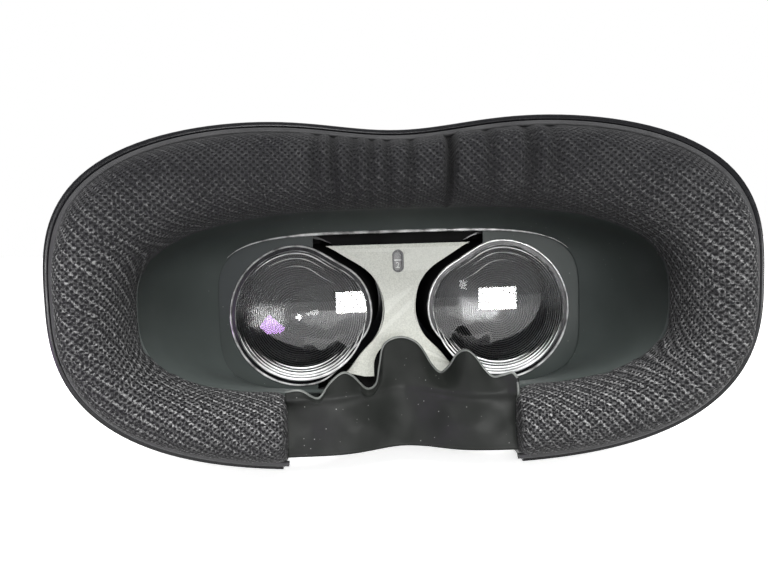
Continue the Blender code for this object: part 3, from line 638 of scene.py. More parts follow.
NYLON = moulded("pale_nylon", (0.55, 0.54, 0.51), (0.62, 0.61, 0.58), 0.50)
WRAP = moulded("battery_film", (0.035, 0.040, 0.050), (0.050, 0.056, 0.066), 0.35, 300, 0.08)
PIPE = moulded("light_pipe", (0.80, 0.80, 0.77), (0.88, 0.88, 0.85), 0.30)
INK = moulded("printed_mark", (0.80, 0.81, 0.78), (0.90, 0.91, 0.88), 0.55)
SCALE_GREY = moulded("scale_block", (0.13, 0.13, 0.13), (0.18, 0.18, 0.18), 0.5)
PIPING = moulded("edge_piping", (0.016, 0.016, 0.017), (0.028, 0.028, 0.029), 0.62, 2600, 0.06)
SLOT_SURFACES = {
    "shell": SHELL, "gloss_black": GLOSS, "black_plastic": BLACK, "slate_shroud": SLATE, "grey_plate": GREY,
    "knit_fabric": KNIT, "silicone": SILICONE, "clear_lens": CLEAR, "steel": STEEL, "alloy": ALLOY,
    "circuit_board": circuit(), "display_glass": screen("display_face"), "battery_wrap": WRAP,
    "pale_nylon": NYLON, "light_pipe": PIPE,
}


def dress_cad_nodes():
    """Every CAD node gets its slot's full material; the ones replaced below keep it hidden."""
    for part in frame["record"]["subparts"]:
        node = frame["nodes"][part["node"]]
        node.data.materials.clear()
        node.data.materials.append(SLOT_SURFACES[part["material_slot"]])


# ---- Face cushion ----
def open_ring(outline, count, margin=0.0):
    """An oval from the end of the right lobe, up round the brow, to the end of the left lobe."""
    x, z = outline(np.linspace(-math.pi / 2, 1.5 * math.pi, 4000))
    keep = ~((z < 0) & (x > NOSE_ENDS[0] - margin) & (x < NOSE_ENDS[1] + margin))
    return resample(np.stack([x[keep], z[keep]], axis=1), count)


def end_cap(ring):
    """Rings that round off the end of a lobe, towards the nose."""
    middle = ring.mean(axis=0)
    side = math.copysign(1, middle[0])
    caps = []
    for step, shrink in ((0.55, 0.985), (0.95, 0.95), (1.1, 0.90)):
        moved = middle + (ring - middle) * (1, shrink, shrink)
        moved[:, 0] -= side * step
        caps.append(moved)
    return caps


def cushion_cage(count=150):
    """The pad's closed cage: a crowned section carried round the ring, with rounded ends."""
    outer = open_ring(lambda t: rim_oval(2.9, t), count, 1.1)
    inner = open_ring(lambda t: opening_oval(0.0, t), count, 1.1)
    section = smooth_path(
        [(0.05, 0.02), (0.01, 0.25), (0.02, 0.52), (0.08, 0.76), (0.22, 0.92), (0.46, 0.985), (0.72, 0.92),
         (0.92, 0.74), (1.0, 0.48), (1.01, 0.22), (0.99, 0.02)], 26
    )
    rings = []
    for i in range(count):
        ring = []
        for across, height in section:
            x, z = outer[i] + (inner[i] - outer[i]) * across
            ring.append((x, PAD_THICKNESS * (1 - height) - crest(x), z))
        rings.append(np.array(ring))
    first, last = end_cap(rings[0]), end_cap(rings[-1])
    return skin("face_pad", first[::-1] + rings + last, closed=False)


def outward(x, z):
    """The in-plane direction away from the ring's middle line, and the signed distance from that line."""
    turn = np.linspace(0, 2 * math.pi, 720, endpoint=False)
    line = np.stack(between(rim_oval(2.9, turn), opening_oval(0.4, turn), 0.48), axis=1)
    points = np.stack([x, z], axis=1)
    nearest = np.empty(len(points), int)
    for start in range(0, len(points), 4000):
        part = points[start:start + 4000]
        nearest[start:start + 4000] = ((part[:, None] - line) ** 2).sum(axis=2).argmin(axis=1)
    along = np.roll(line, -1, axis=0) - np.roll(line, 1, axis=0)
    along /= np.linalg.norm(along, axis=1)[:, None]
    normal = np.stack([along[:, 1], -along[:, 0]], axis=1)[nearest]
    return normal, ((points - line[nearest]) * normal).sum(axis=1)


def vertices(mesh):
    flat = np.empty(len(mesh.vertices) * 3)
    mesh.vertices.foreach_get("co", flat)
    return (flat.reshape(-1, 3) - np.array(OPTIC)) / MM


def set_vertices(obj, points):
    obj.data.vertices.foreach_set("co", world(points).ravel())
    obj.data.update()


def simulate_padding(obj, limit):
    """Foam pressing out against its fabric: cloth under pressure, moved by at most limit."""
    remesh = obj.modifiers.new("remesh", "REMESH")
    remesh.mode = "VOXEL"
    remesh.voxel_size = 0.0026
    apply_modifiers(obj)
    start = vertices(obj.data)
    depth = start[:, 1] + crest(start[:, 0])
    held = obj.vertex_groups.new(name="held")
    for index in np.nonzero(depth > PAD_THICKNESS * 0.82)[0]:
        held.add([int(index)], 1.0, "REPLACE")
    cloth = obj.modifiers.new("padding", "CLOTH")
    settings = cloth.settings
    settings.quality = 6
    settings.mass = 0.2
    settings.tension_stiffness = settings.compression_stiffness = 12
    settings.bending_stiffness = 0.4
    settings.use_pressure = True
    settings.uniform_pressure_force = 4
    settings.effector_weights.gravity = 0
    settings.vertex_group_mass = "held"
    for step in range(1, 21):
        bpy.context.scene.frame_set(step)
    moved = vertices(obj.evaluated_get(bpy.context.evaluated_depsgraph_get()).to_mesh())
    obj.modifiers.clear()
    obj.vertex_groups.clear()
    bpy.context.scene.frame_set(1)
    shift = moved - start
    length = np.linalg.norm(shift, axis=1, keepdims=True)
    shift *= np.minimum(1, limit / np.maximum(length, 1e-6))
    set_vertices(obj, start + shift)
    return obj


CREASE_GAIN = 1.3
# Creases across the brow: x, depth before the gain and half-width in millimetres, and lean.
CREASES = (
    (-22.5, 0.9, 1.2, 0.03), (-17.5, 1.3, 1.1, -0.05), (-12.5, 0.9, 1.2, 0.03), (-8.0, 1.2, 1.1, 0.05),
    (-3.2, 1.0, 1.1, -0.02), (2.6, 1.2, 1.2, 0.06), (13.2, 2.7, 1.3, 0.05), (24.0, 1.0, 1.4, -0.03),
    (33.5, 1.2, 1.5, 0.02), (39.5, 0.8, 1.4, 0.03),
)


def pucker(obj):
    """Gathers the brow into upright creases, stores their depth as painted shade for the fabric, and lets the
    fabric ripple slightly elsewhere.
    """
    x, y, z = vertices(obj.data).T
    normal, _ = outward(x, z)
    depth = y + crest(x)
    showing = np.clip(1.25 - depth / 10, 0, 1)
    brow = np.clip((z - 18) / 10, 0, 1) * np.clip((58 - np.abs(x)) / 16, 0, 1)
    lift = np.zeros(len(x))
    for at, size, half, lean in CREASES:
        off = (x - at - lean * (z - 40)) / half
        lift -= size * np.exp(-(off**2)) - 0.35 * size * np.exp(-((np.abs(off) - 1.9) ** 2))
    ripple = 0.16 * np.sin(x * 0.42 + 1.3 * np.sin(z * 0.11)) + 0.12 * np.sin(z * 0.35 + x * 0.13)
    move = (CREASE_GAIN * lift * brow + ripple) * showing
    # Painted shade: how deep each crease runs, kept to darken the fabric in it.
    painted_crease_shade = obj.data.attributes.new("painted_crease_shade", "FLOAT", "POINT")
    painted_crease_shade.data.foreach_set("value", np.clip(-0.42 * lift * brow, 0, 0.92).astype(np.float32))
    y = y - move
    x = x + normal[:, 0] * move * 0.25
    z = z + normal[:, 1] * (move * 0.45 * brow)
    set_vertices(obj, np.stack([x, y, z], axis=1))


def lay_weave(obj):
    """Fabric coordinates: flat across the crown, and unrolled down the pad's two walls."""
    x, y, z = vertices(obj.data).T
    normal, distance = outward(x, z)
    depth = np.maximum(y + crest(x) - 1.5, 0)
    roll = np.sign(distance) * depth
    weave = np.stack([x + normal[:, 0] * roll, z + normal[:, 1] * roll, np.zeros_like(x)], axis=1)
    attribute = obj.data.attributes.new("weave", "FLOAT_VECTOR", "POINT")
    attribute.data.foreach_set("vector", weave.astype(np.float32).ravel())


def refine(obj, levels):
    subdivide = obj.modifiers.new("refine", "SUBSURF")
    subdivide.levels = subdivide.render_levels = levels
    return apply_modifiers(obj)


def face_cushion():
    pad = simulate_padding(cushion_cage(), limit=1.2)
    refine(pad, 2)
    pucker(pad)
    lay_weave(pad)
    pad.data.shade_smooth()
    use(pad, "face_interface", KNIT, ["face_cushion"])


def cushion_piping():
    """The bound edge round the pad's outer side, half way down."""
    path = at_depth(open_ring(lambda t: rim_oval(3.0, t), 260).T, behind_crest(PAD_THICKNESS / 2))
    use(tube("pad_binding", path, 0.8), "face_interface", PIPING)


# ---- Face frame and shroud ----
def arch(left, right, top):
    """An outline below an elliptical arch, open past the base."""
    middle, half = (left + right) / 2, (right - left) / 2
    rise = half * 0.6
    turns = np.linspace(0, math.pi, 40)
    curve = [(middle + half * math.cos(a), top - rise * (1 - math.sin(a))) for a in turns]
    return [(right, BASE - 5), *curve, (left, BASE - 5)]


def face_frame():
    """The carrier: skirt, raised glossy lip round the padding, and the ledge beneath it."""
    lip = LEDGE - 7.0
    root = HOUSING_REAR - 0.5
    bend = between(body_oval(0.0), rim_oval(0.0), 0.55)
    inner_bend = between(body_oval(2.4), rim_oval(2.4), 0.55)
    rings = [
        at_depth(body_oval(1.5), root), at_depth(body_oval(1.2), root - 0.3),
        at_depth(between(body_oval(0.9), bend, 0.35), -1.2),
        at_depth(between(body_oval(0.5), bend, 0.7), -4.6), at_depth(bend, -8.0),
        at_depth(between(bend, rim_oval(0.0), 0.5), lambda x: 0.5 * (lip + 1.2 - crest(x) - 8.0)),
    ]
    for inset, distance in (
        (0.0, 1.6), (0.0, 1.2), (0.04, 0.6), (0.16, 0.25), (0.4, 0.05), (0.7, 0.0), (1.1, 0.0),
        (1.35, 0.08), (1.55, 0.3), (1.65, 0.7), (1.9, 6.6), (2.2, 7.0),
    ):
        rings.append(at_depth(rim_oval(inset), behind_crest(lip + distance)))
    for outline, distance in (
        (opening_oval(2.3), 0.0), (opening_oval(2.0), 0.3), (opening_oval(2.0), 2.0), (rim_oval(2.8), 2.6),
    ):
        rings.append(at_depth(outline, behind_crest(LEDGE + distance)))
    rings += [at_depth(inner_bend, -7.0), at_depth(body_oval(6.0), root)]
    carrier = skin("face_carrier", rings)
    cut(carrier, [prism("notch", [arch(NOSE_ENDS[0] - 2.2, NOSE_ENDS[1] + 2.2, -12.0)], -70.0, 5.0)])
    tabs = [
        box_mesh("tab", (x - 4, -2, z - 1.2), (x + 4, 10, z + 1.2))
        for x, z in ((-48, 45.0), (48, 45.0), (-36, -36.7), (36, -36.7))
    ]
    cut(carrier, tabs, "UNION")
    use(carrier, "face_interface", GLOSS, ["face_frame"])


def shroud():
    """The slate funnel, with a rolled edge at the lenses and a pale bead along its top that is a painted
    highlight.
    """
    front = behind_crest(LEDGE - 1.1)
    shares = np.linspace(0, 1, 15)

    def ring(share, inset, back=0.0):
        flare = share**2
        outline = opening_oval(1.9 * (1 - flare) - inset, share=flare)
        return at_depth(outline, lambda x: front(x) * (1 - share) - (1.3 - back) * share)

    outer = [ring(s, 0.0) for s in shares]
    rolled = [ring(1.0, 0.1, 0.2), ring(1.0, 0.3, 0.3), ring(1.0, 0.7, 0.3), ring(1.0, 0.9, 0.2)]
    inner = [ring(s, 1.0) for s in shares[::-1]]
    funnel = skin("eye_shroud", outer + rolled + inner)
    cut(funnel, [prism("nose_room", [arch(-36.5, 36.5, -8.0)], -60.0, -6.0)])
    use(funnel, "face_interface", SLATE, ["inner_shroud"])
    # Painted highlight: a pale bead along the top of the shroud's edge at the lenses.
    upper = np.radians(np.linspace(38, 142, 120))
    bead = at_depth(opening_oval(-0.75, upper, share=1.0), -1.7)
    use(tube("shroud_bead", bead, 0.5, taper=0.25), "face_interface", BRIGHT_EDGE)


# ---- Nose flap ----
# The flap's free edge from left to right, as x, y, z.
FLAP_EDGE = (
    (-33.6, -27.0, -18.2), (-29.5, -26.8, -18.0), (-24.8, -25.0, -20.8), (-21.5, -22.5, -17.2),
    (-18.0, -21.0, -14.7), (-15.2, -20.0, -15.8), (-11.2, -18.0, -20.2), (-8.2, -16.0, -19.2),
    (-7.0, -14.0, -14.0), (-5.4, -12.4, -8.2), (-0.6, -11.6, -6.3), (4.6, -12.4, -8.3),
    (8.4, -14.5, -14.3), (11.0, -16.0, -16.5), (13.5, -18.0, -14.1), (15.5, -19.5, -10.6),
    (17.9, -21.0, -9.2), (20.4, -21.5, -11.0), (23.0, -22.5, -14.7), (25.2, -23.5, -16.6),
    (27.7, -25.0, -15.9), (30.0, -26.5, -14.9), (31.2, -27.5, -16.2),
)


def flap_section(x, y, z):
    """The sheet's upright section under a point of its free edge: wall, fold and the lip above it."""
    middle = math.exp(-((x / 12.0) ** 2))
    foot = (-28.0 + 5.0 * middle, -36.3 + 0.6 * middle)
    wall = (-27.0 + 6.0 * middle + 0.9 * math.sin(x * 0.21 + 0.8), -29.0)
    under = (-24.6 + 6.4 * middle - 0.05 * abs(x), -23.0 + 1.2 * middle)
    fold_z = min(z - 1.0, -20.4 + 1.6 * middle)
    fold = (min(y - 0.8, -24.4 + 6.6 * middle - 0.07 * abs(x)), fold_z)
    return [foot, wall, under, fold, (0.45 * fold[0] + 0.55 * y, 0.45 * fold_z + 0.55 * z), (y, z)]


def nose_flap():
    """A soft sheet from lobe to lobe that leans back to the lens plate, with a rippled free edge."""
    edge = smooth_path(FLAP_EDGE, 220)
    columns = [[(x, a, b) for a, b in smooth_path(flap_section(x, y, z), 44)] for x, y, z in edge]
    rows = len(columns[0])
    faces = [
        (c * rows + r, (c + 1) * rows + r, (c + 1) * rows + r + 1, c * rows + r + 1)
        for c in range(len(columns) - 1) for r in range(rows - 1)
    ]
    flap = mesh_object("soft_nose_flap", np.array(columns).reshape(-1, 3), faces)
    solid = flap.modifiers.new("thickness", "SOLIDIFY")
    solid.thickness = 1.0 * MM
    solid.offset = -1.0
    use(flap, "face_interface", SILICONE, ["nose_flap"])
    # The flap's edges are pale tubes: a painted highlight along the silicone's edge.
    lip = edge + np.array([0, 0.4, 0.1])
    use(tube("flap_edge", lip, 0.42), "face_interface", PALE_EDGE)
    side = np.array(columns[-1])[4:-2] + np.array([0.0, 0.3, 0.0])
    use(tube("flap_side_edge", side, 0.35), "face_interface", PALE_EDGE)


# ---- Optics ----
GROOVE_PITCH = 0.7
RAIL_HEIGHT, RAIL_DEPTH = 28, 15  # of the guide rods, above and below the lenses and behind them


def lens_ring(name, side, section):
    """A ring round the lens whose section is given as (offset, y)."""
    return skin(name, [at_depth(lens_outline(side, offset), y) for offset, y in section])


def lens(hand, side):
    """A moulded lens: a smooth dome on the eye's side and circular grooves on its back."""
    centre = Vector((side * EYE_SPACING / 2, 0, 0))
    reach = LENS_RADIUS + 1.2
    profile = [(reach * k / 30 + 0.001, 0.5 + 2.8 * (1 - (k / 30) ** 2)) for k in range(31)]
    back = []
    for k in range(int(reach / GROOVE_PITCH), 0, -1):
        outer, inner = k * GROOVE_PITCH + 0.6, (k - 1) * GROOVE_PITCH + 0.68
        tooth = 0.06 + 0.30 * outer / LENS_RADIUS
        back += [(outer, -LENS_BACK), (inner, -LENS_BACK + tooth)]
    profile += [(reach, -LENS_BACK)] + back + [(0.001, -LENS_BACK + 0.05)]
    disc = turned(f"optic_{hand}", profile, centre, (0, -1, 0), 160)
    x, z = lens_outline(side, -1.7)
    cut(disc, [prism("lens_shape", [list(zip(x, z))], -8.0, 4.0)], "INTERSECT")
    use(disc, f"carriage_{hand}", CLEAR, [f"lens_{hand}"])
    for surface in (FROSTED, LIT_GROOVES):
        disc.data.materials.append(surface)
    for face in disc.data.polygons:
        at = (face.center - OPTIC) / MM - centre
        riser = abs(face.normal.y) < 0.6 and math.hypot(at.x, at.z) > 1.0
        # Risers near the lower outer edge take the white material: a painted highlight of arcs catching the
        # light.
        edge = math.hypot(at.x, at.z) + 3.5 * (at.x - at.z) / LENS_RADIUS > 18.5
        face.material_index = (2 if edge else 1) if riser else 0
    bead = [(0.0, 1.4), (0.0, -0.7), (-0.08, -0.95), (-0.25, -1.1), (-0.42, -1.1), (-0.56, -0.98),
            (-0.62, -0.7), (-0.62, 1.4)]
    seat = [(-0.64, 1.4), (-0.64, -0.35), (-1.65, -0.35), (-1.65, 1.4)]
    ridge = [(-1.66, 1.2), (-1.66, -0.5), (-1.78, -0.75), (-1.95, -0.8), (-2.05, -0.6), (-2.05, 1.2)]
    # The rim and ridge rings take the pale edge material, a painted highlight round the lens.
    for name, section, surface, slot in (
        ("rim", bead, BRIGHT_EDGE, "clear_lens"), ("seat", seat, GLOSS, "black_plastic"),
        ("ridge", ridge, BRIGHT_EDGE, "clear_lens"),
    ):
        use(lens_ring(f"optic_{name}_{hand}", side, section), f"carriage_{hand}", surface)


def lens_apron(hand, side):
    """A thin slate apron on the carriage's outer side, which slides under the shroud's edge. Its slate is
    painted darker, as the shade next to the lens.
    """
    sheet = prism(f"lens_apron_{hand}", [list(zip(*opening_oval(0.8, share=1.0)))], -0.7, 0.0)
    low, high = sorted((side * 27.0, side * 62.0))
    cut(sheet, [box_mesh("outer_side", (low, -5, -40), (high, 5, 40))], "INTERSECT")
    cut(sheet, [prism("lens_room", [list(zip(*lens_outline(side, 0.12)))], -5.0, 5.0)])
    use(sheet, f"carriage_{hand}", SHADED_SLATE)


def lens_flange(hand, side):
    """Fine steps moulded round the lens, most of them low, coloured white as painted highlights of the light
    on the lens.
    """
    for number, (offset, width, low, high) in enumerate((
        (-2.4, 0.45, -172, -12), (-3.4, 0.34, -165, -18), (-4.3, 0.40, -150, -30), (-5.3, 0.18, -155, -35),
        (-6.2, 0.30, -135, -55), (-2.6, 0.20, 40, 135), (-4.2, 0.13, 55, 120), (-6.6, 0.12, 70, 140),
    )):
        turn = np.radians(np.linspace(low, high, 110))
        x, z = lens_outline(side, offset, turn=turn)
        reach = np.hypot(x - side * EYE_SPACING / 2, z) / (LENS_RADIUS + 1.2)
        path = np.stack([x, -0.45 - 2.8 * (1 - reach**2), z], axis=1)
        step = tube(f"optic_step_{hand}_{number}", path, width, 8, taper=0.3)
        use(step, f"carriage_{hand}", LIT_STEP)


def barrel(hand, side):
    """The black tube behind the lens, stepped where the lens seats, with bored ears for the rods."""
    outer = [(-0.3, 1.9), (0.0, 2.3), (0.2, 5.0), (0.9, 12.0), (2.4, 33.0)]
    inner = [(offset - 1.5, y) for offset, y in reversed(outer)]
    shell = lens_ring(f"optic_barrel_{hand}", side, outer + inner)
    middle = side * EYE_SPACING / 2
    for z in (-RAIL_HEIGHT, RAIL_HEIGHT):
        low, high = sorted((math.copysign(22.8, z), math.copysign(31.0, z)))
        cut(shell, [box_mesh("ear", (middle - 6, 11.4, low), (middle + 6, 18.6, high))], "UNION")
        cut(shell, [rod("bore", (middle - 8, RAIL_DEPTH, z), (middle + 8, RAIL_DEPTH, z), 1.8)])
    use(shell, f"carriage_{hand}", MATTE, [f"barrel_{hand}"])


def plate_outline():
    """The bridge before the lenses' rooms are cut: wide at the top, arched over the nose."""
    half = [(25.8, 22.0), (26.6, 21.7), (27.0, 20.8), (27.0, 10.0), (20.0, -19.0), (12.0, -21.0),
            (8.9, -21.0)]
    arc = [(8.9 * math.cos(a), -18.0 + 8.9 * math.sin(a)) for a in np.linspace(0, math.pi, 40)]
    return half + arc + [(-x, z) for x, z in reversed(half)]


def lens_plate():
    """The grey bridge, with bevelled edges where it is cut away for the lenses and the spacing window."""
    bridge = prism("bridge_plate", [plate_outline()], 2.6, 4.6)
    tools = []
    for side in (-1, 1):
        x, z = lens_outline(side, 0.6)
        for shift in (0.0, 1.7, 3.4):
            tools.append(prism("lens_room", [list(zip(x - side * shift, z))], 1.0, 6.0))
    tools.append(prism("window", [rounded((-1.85, 12.8), (1.85, 20.2), 1.82)], 1.0, 6.0))
    cut(bridge, tools)
    round_edges(bridge, 0.45, 40)
    use(bridge, "headset", GREY, ["lens_plate"])
    liner = [rounded((-1.8, 12.85), (1.8, 20.15), 1.78), rounded((-1.25, 13.4), (1.25, 19.6), 1.23)]
    use(prism("window_liner", liner, 2.7, 5.0), "headset", BLACK)
    for hand, side in (("left", -1), ("right", 1)):
        recess = lens_ring(f"recess_lip_{hand}", side, [(4.4, 4.8), (4.4, 5.5), (3.4, 5.5), (3.5, 4.95)])
        low, high = sorted((side * 0.4, side * 27))
        cut(recess, [box_mesh("trim", (low, 4, -22), (high, 9, 22))], "INTERSECT")
        use(recess, "headset", GREY)


def black_shade_sheet():
    """A black sheet that closes the casing round the lens plate and the barrels, put there to paint the
    recess above the plate as dark as shade.
    """
    sheet = prism("black_shade_sheet", [list(zip(*body_oval(4.0)))], 4.64, 4.78)
    tools = [prism("window", [rounded((-1.9, 12.7), (1.9, 20.3), 1.85)], 1.0, 6.0)]
    for side in (-1, 1):
        tools.append(prism("lens_room", [list(zip(*lens_outline(side, 3.8)))], 1.0, 6.0))
    cut(sheet, tools)
    use(sheet, "headset", MATTE)


def spacing_scale():
    """The sliding block's numbers, of which the window shows one."""
    block = box_mesh("scale_block", (-4.2, 5.3, 12.4), (4.2, 5.5, 20.6), 0.08)
    use(block, "carriage_left", SCALE_GREY)
    for text, x in (("3", -2.5), ("2", 0.0), ("1", 2.5)):
        curve = bpy.data.curves.new(f"setting_{text}", "FONT")
        curve.body = text
        curve.size = 2.6 * MM
        curve.extrude = 0.05 * MM
        curve.align_x, curve.align_y = "CENTER", "CENTER"
        label = add_object(f"setting_{text}", curve)
        label.rotation_euler = (math.pi / 2, 0, 0)
        label.location = spot(x, 5.24, 15.0)
        use(as_mesh(label), "carriage_left", INK)
    mark = box_mesh("setting_line", (-1.2, 4.9, 16.6), (1.2, 5.1, 16.9))
    use(mark, "headset", INK)
    window = prism("spacing_window", [rounded((-1.24, 13.42), (1.24, 19.58), 1.22)], 3.4, 3.8, bevel=0.1)
    use(window, "headset", GLAZING, ["index_window"])


# ---- Casing ----
def cad_box(node):
    """The lowest corner, highest corner and middle of a CAD node's box, in millimetres."""
    low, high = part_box(node)
    return [(corner - OPTIC) / MM for corner in (low, high, (low + high) / 2)]


def casing():
    """The sleeve behind the carrier, with vents and the openings for the controls and ports."""
    rear = ((1.3, 0.0), (1.0, 0.0), (0.7, 0.25), (0.2, 1.6), (0.05, 2.8), (0.0, 4.0))
    front = ((0.0, 0.3), (0.12, 0.08), (0.4, 0.0), (WALL, 0.0))
    section = [(inset, HOUSING_REAR + back) for inset, back in rear]
    section += [(inset, HOUSING_FRONT - ahead) for inset, ahead in front]
    section += [(WALL, HOUSING_REAR + 4.0), (WALL + 1.0, HOUSING_REAR)]
    sleeve = skin("casing_sleeve", [at_depth(body_oval(inset), y) for inset, y in section])
    tools = []
    for x in range(-24, 25, 8):
        tools.append(prism("vent", [rounded((x - 1.6, 33), (x + 1.6, 41), 1.55)], 40, 62, "XY"))
    x, y = ROCKER
    slot = rounded((x - 11.4, y - 3.4), (x + 11.4, y + 3.4), 2.6)
    tools.append(prism("rocker_slot", [slot], 44, 58, "XY"))
    low, high, _ = cad_box("power_button")
    y, z = (low.y + high.y) / 2, (low.z + high.z) / 2
    tools.append(rod("power_hole", (75, y, z), (92, y, z), (high.y - low.y) / 2 + 0.4, 64))
    tools.append(rod("jack_hole", (-92, 34, PORT_Z), (-75, 34, PORT_Z), 3.5))
    slot = rounded((14.9, PORT_Z - 2.1), (25.1, PORT_Z + 2.1), 2.0)
    tools.append(prism("usb_hole", [slot], -92, -75, "YZ"))
    for side in (-1, 1):
        tools.append(rod("lug_hole", (side * 75, *LUG_PIVOT), (side * 92, *LUG_PIVOT), 2.6))
    cut(sleeve, tools)
    use(sleeve, "headset", SHELL, ["housing"])


def cover():
    """The front cap, crowned across its face, with a parting groove behind and seats for the cameras."""
    steps = [(HOUSING_FRONT + 0.4, 0.25), (HOUSING_FRONT + 0.7, 0.0), (54.0, 0.2), (56.6, 0.7), (58.6, 1.6),
             (59.9, 2.9), (60.8, 4.6), (61.35, 6.4), (61.7, 8.5), (61.9, 11.5), (COVER_FRONT, 15.0)]
    outer = [at_depth(body_oval(inset, floor_inset=min(inset, 6.0)), y) for y, inset in steps]
    inner = [
        at_depth(body_oval(inset + WALL, floor_inset=min(inset, 6.0) + WALL), y - (WALL if y > 58 else 0))
        for y, inset in reversed(steps)
    ]
    count, half = STATIONS, len(outer)
    joined = [row for row in range(2 * half) if row != half - 1]
    faces = ring_faces(joined, count, 2 * half)
    faces += [tuple(range(row * count, (row + 1) * count)) for row in (half - 1, half)]
    cap = mesh_object("front_cap", np.vstack(outer + inner), faces)
    tools = []
    for name in CAMERAS:
        centre = cad_box(name)[2]
        tools.append(rod("camera_seat", (centre.x, 50, centre.z), (centre.x, 70, centre.z), 6.4, 64))
    tools.append(rod("status_seat", (0, 55, 30), (0, 70, 30), 1.5, 32))
    cut(cap, tools)
    use(cap, "headset", SHELL, ["front_cover"])


def camera(name):
    """A tracking camera: bezel ring, recessed baffle and a domed glass."""
    centre = cad_box(name)[2]
    at, forward = (centre.x, COVER_FRONT - 0.1, centre.z), (0, 1, 0)
    profile = [(3.3, -1.4), (3.5, -0.3), (3.7, 0.0), (4.0, 0.25), (4.4, 0.5), (5.6, 0.5), (5.95, 0.38),
               (6.1, 0.1), (6.1, -3.0), (4.6, -3.2), (4.6, -8.0), (3.3, -8.0), (3.3, -1.4)]
    bezel = turned(f"{name}_bezel", profile, at, forward)
    use(bezel, "headset", BLACK, [name])
    dome = [(3.2 * math.sin(a), 0.9 - 2.3 * (1 - math.cos(a))) for a in np.linspace(0.001, 1.45, 18)]
    glass = turned(f"{name}_glass", dome + [(3.2, -1.6), (0.001, -1.6)], at, forward)
    use(glass, "headset", GLOSS)


def strap_lug(hand, side):
    """The slotted loop that the strap passes through, and the rivet that it turns on."""
    pivot_y, pivot_z = LUG_PIVOT
    arc = np.radians(np.linspace(-75, 75, 30))
    edge = [(pivot_y + 7 * math.cos(a), pivot_z + 7 * math.sin(a)) for a in arc]
    end = ((16.0, 17.0), (8.5, 17.0), (7.0, 16.2), (6.0, 14.5))
    edge += [(y, pivot_z + z) for y, z in end] + [(y, pivot_z - z) for y, z in reversed(end)]
    slot = rounded((8.6, pivot_z - 13.2), (13.4, pivot_z + 13.2), 1.6)
    low, high = sorted((side * (BODY["half_width"] + 0.5), side * (BODY["half_width"] + 3.3)))
    outlines = [edge, slot, circle(pivot_y, pivot_z, 2.6)]
    loop = prism(f"strap_loop_{hand}", outlines, low, high, "YZ", bevel=0.5)
    use(loop, f"strap_lug_{hand}", SHELL, [f"strap_lug_{hand}"])
    head = [(0.001, 1.1), (2.2, 1.05), (3.3, 0.85), (3.8, 0.5), (4.0, 0.15), (4.0, 0), (2.2, 0),
            (2.2, -8), (0.001, -8)]
    pin = turned(f"lug_rivet_{hand}", head, (side * (BODY["half_width"] + 3.6), *LUG_PIVOT), (side, 0, 0))
    use(pin, "headset", STEEL, [f"lug_pin_{hand}"])


def controls():
    """The volume key, the power key, the charging port and the audio socket."""
    x, y = ROCKER
    rocker = prism("volume_key", [rounded((x - 11, 49.3), (x + 11, 53.2), 1.2)], y - 3, y + 3, bevel=0.7)
    use(rocker, "volume_rocker", BLACK, ["volume_rocker"])
    crown = [(0.001, 4.6), (1.5, 4.6), (3.2, 4.52), (3.9, 4.3), (4.35, 3.8), (4.5, 3.2), (4.5, 0), (0.001, 0)]
    low, high, _ = cad_box("power_button")
    button = turned("power_key", crown, (low.x, (low.y + high.y) / 2, (low.z + high.z) / 2), (1, 0, 0))
    use(button, "power_button", BLACK, ["power_button"])
    shell = [
        rounded((20 - half, PORT_Z - high), (20 + half, PORT_Z + high), high - 0.02)
        for half, high in ((4.6, 1.7), (4.1, 1.2))
    ]
    use(prism("charge_port", shell, -81.2, -74.0, "YZ"), "headset", STEEL, ["usb_port"])
    tongue = box_mesh("charge_port_tongue", (-80.4, 16.9, PORT_Z - 0.35), (-74.2, 23.1, PORT_Z + 0.35), 0.1)
    use(tongue, "headset", BLACK)
    ring = [circle(34, PORT_Z, radius) for radius in (3.2, 1.8)]
    ring = prism("audio_socket", ring, -81.4, -71.0, "YZ", bevel=0.25)
    use(ring, "headset", BLACK, ["audio_jack"])


# ---- Studio ----
CAMERA_PLACE = (-8.0, -191.4, 23.0)
CAMERA_YAW, CAMERA_PITCH, CAMERA_ROLL = -0.94, -4.5, 1.71
FOCAL_SHARE = 600 / 768  # focal length over the picture's width


LAMPS = (  # name, place, size, power and spin; a glint shows only in reflections
    ("key", (20, -300, 430), (300, 300), 4.6, 0),
    ("front", (60, -560, 110), (260, 260), 2.4, 0),
    ("window_glint", (105, -392, -12), (130, 90), 1.0, 0),
    ("strip_glint", (-240, -300, 260), (60, 160), 0.5, 0),
    ("pane_glint", (-95, -146, -36), (32, 32), 0.05, 45),
    ("spot_glint", (-52, -150, -18), (8, 8), 0.006, 45),
)
LAVENDER = (0.72, 0.38, 1.0)


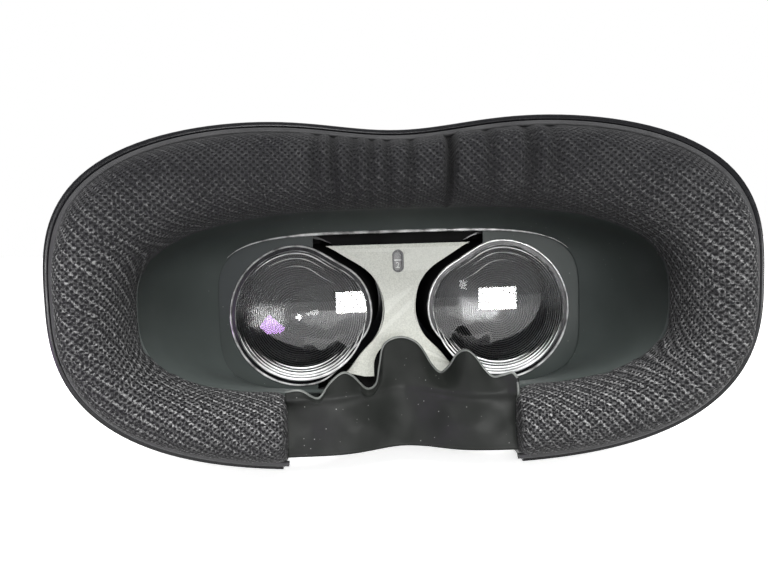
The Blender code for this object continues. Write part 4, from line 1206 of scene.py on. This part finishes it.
def backdrop():
    """White light from all sides, weaker from behind the camera and from below."""
    bpy.context.scene.view_settings.view_transform = "Standard"
    made = bpy.data.worlds.new("studio")
    bpy.context.scene.world = made
    made.use_nodes = True
    tree = made.node_tree
    split, product = tree.nodes.new("ShaderNodeSeparateXYZ"), tree.nodes.new("ShaderNodeMath")
    product.operation = "MULTIPLY"
    tree.links.new(tree.nodes.new("ShaderNodeTexCoord").outputs["Generated"], split.inputs[0])
    for socket, axis, *levels in (
        (product.inputs[0], "Y", -0.25, 0.3, 0.38, 1.0), (product.inputs[1], "Z", -0.12, -0.02, 0.15, 1.0),
    ):
        level = tree.nodes.new("ShaderNodeMapRange")
        for name, value in zip(("From Min", "From Max", "To Min", "To Max"), levels):
            level.inputs[name].default_value = value
        tree.links.new(split.outputs[axis], level.inputs["Value"])
        tree.links.new(level.outputs["Result"], socket)
    tree.links.new(product.outputs["Value"], tree.nodes["Background"].inputs["Strength"])
    tree.nodes["Background"].inputs["Color"].default_value = (1, 1, 1, 1)


def view_camera():
    data = bpy.data.cameras.new("camera")
    data.sensor_width = 36
    data.lens = 36 * FOCAL_SHARE
    data.clip_start = 0.01
    eye = add_object("camera", data)
    yaw, pitch, roll = (math.radians(a) for a in (CAMERA_YAW, CAMERA_PITCH, CAMERA_ROLL))
    turn = Matrix.Rotation(yaw, 3, "Z") @ Matrix.Rotation(pitch, 3, "X") @ Matrix.Rotation(roll, 3, "Y")
    upright = Matrix(((1, 0, 0), (0, 0, -1), (0, 1, 0)))
    eye.matrix_world = Matrix.Translation(spot(*CAMERA_PLACE)) @ (turn @ upright).to_4x4()
    bpy.context.scene.camera = eye


def lamps():
    for name, place, size, power, spin in LAMPS:
        glint = name.endswith("glint")
        lamp = bpy.data.lights.new(name, "AREA")
        lamp.shape = "RECTANGLE" if glint else "ELLIPSE"
        lamp.size, lamp.size_y = (length * MM for length in size)
        lamp.energy = power
        if name == "pane_glint":
            lamp.color = LAVENDER
        placed = add_object(name, lamp)
        placed.location = spot(*place)
        aim = (spot(0, 0, 0) - spot(*place)).to_track_quat("-Z", "Y").to_matrix()
        placed.rotation_euler = (aim @ Matrix.Rotation(math.radians(spin), 3, "Z")).to_euler()
        placed.visible_diffuse = not glint
        placed.visible_glossy = glint
        placed.visible_transmission = name in ("strip_glint", "window_glint")


def floor():
    """A pale level floor. It glows to read as white, and is hidden from diffuse light."""
    bm = bmesh.new()
    bmesh.ops.create_grid(bm, x_segments=1, y_segments=1, size=6.0)
    mesh = bpy.data.meshes.new("floor")
    bm.to_mesh(mesh)
    bm.free()
    ground = add_object("floor", mesh)
    made = Surface("pale_floor", (0.9, 0.9, 0.9), 0.8, Emission_Color=(1, 1, 1, 1), Emission_Strength=0.75)
    made.colour(made.ramp(made.noise(6, 2), (0.3, 0.88), (0.7, 0.92)))
    ground.data.materials.append(made.material)
    ground.visible_diffuse = False


# ---- Assembly ----
dress_cad_nodes()
backdrop()
view_camera()
lamps()
floor()
face_cushion()
cushion_piping()
face_frame()
shroud()
nose_flap()
for hand, side in (("left", -1), ("right", 1)):
    lens(hand, side)
    lens_apron(hand, side)
    lens_flange(hand, side)
    barrel(hand, side)
    strap_lug(hand, side)
lens_plate()
black_shade_sheet()
spacing_scale()
casing()
cover()
for name in CAMERAS:
    camera(name)
controls()

bpy.context.view_layer.update()
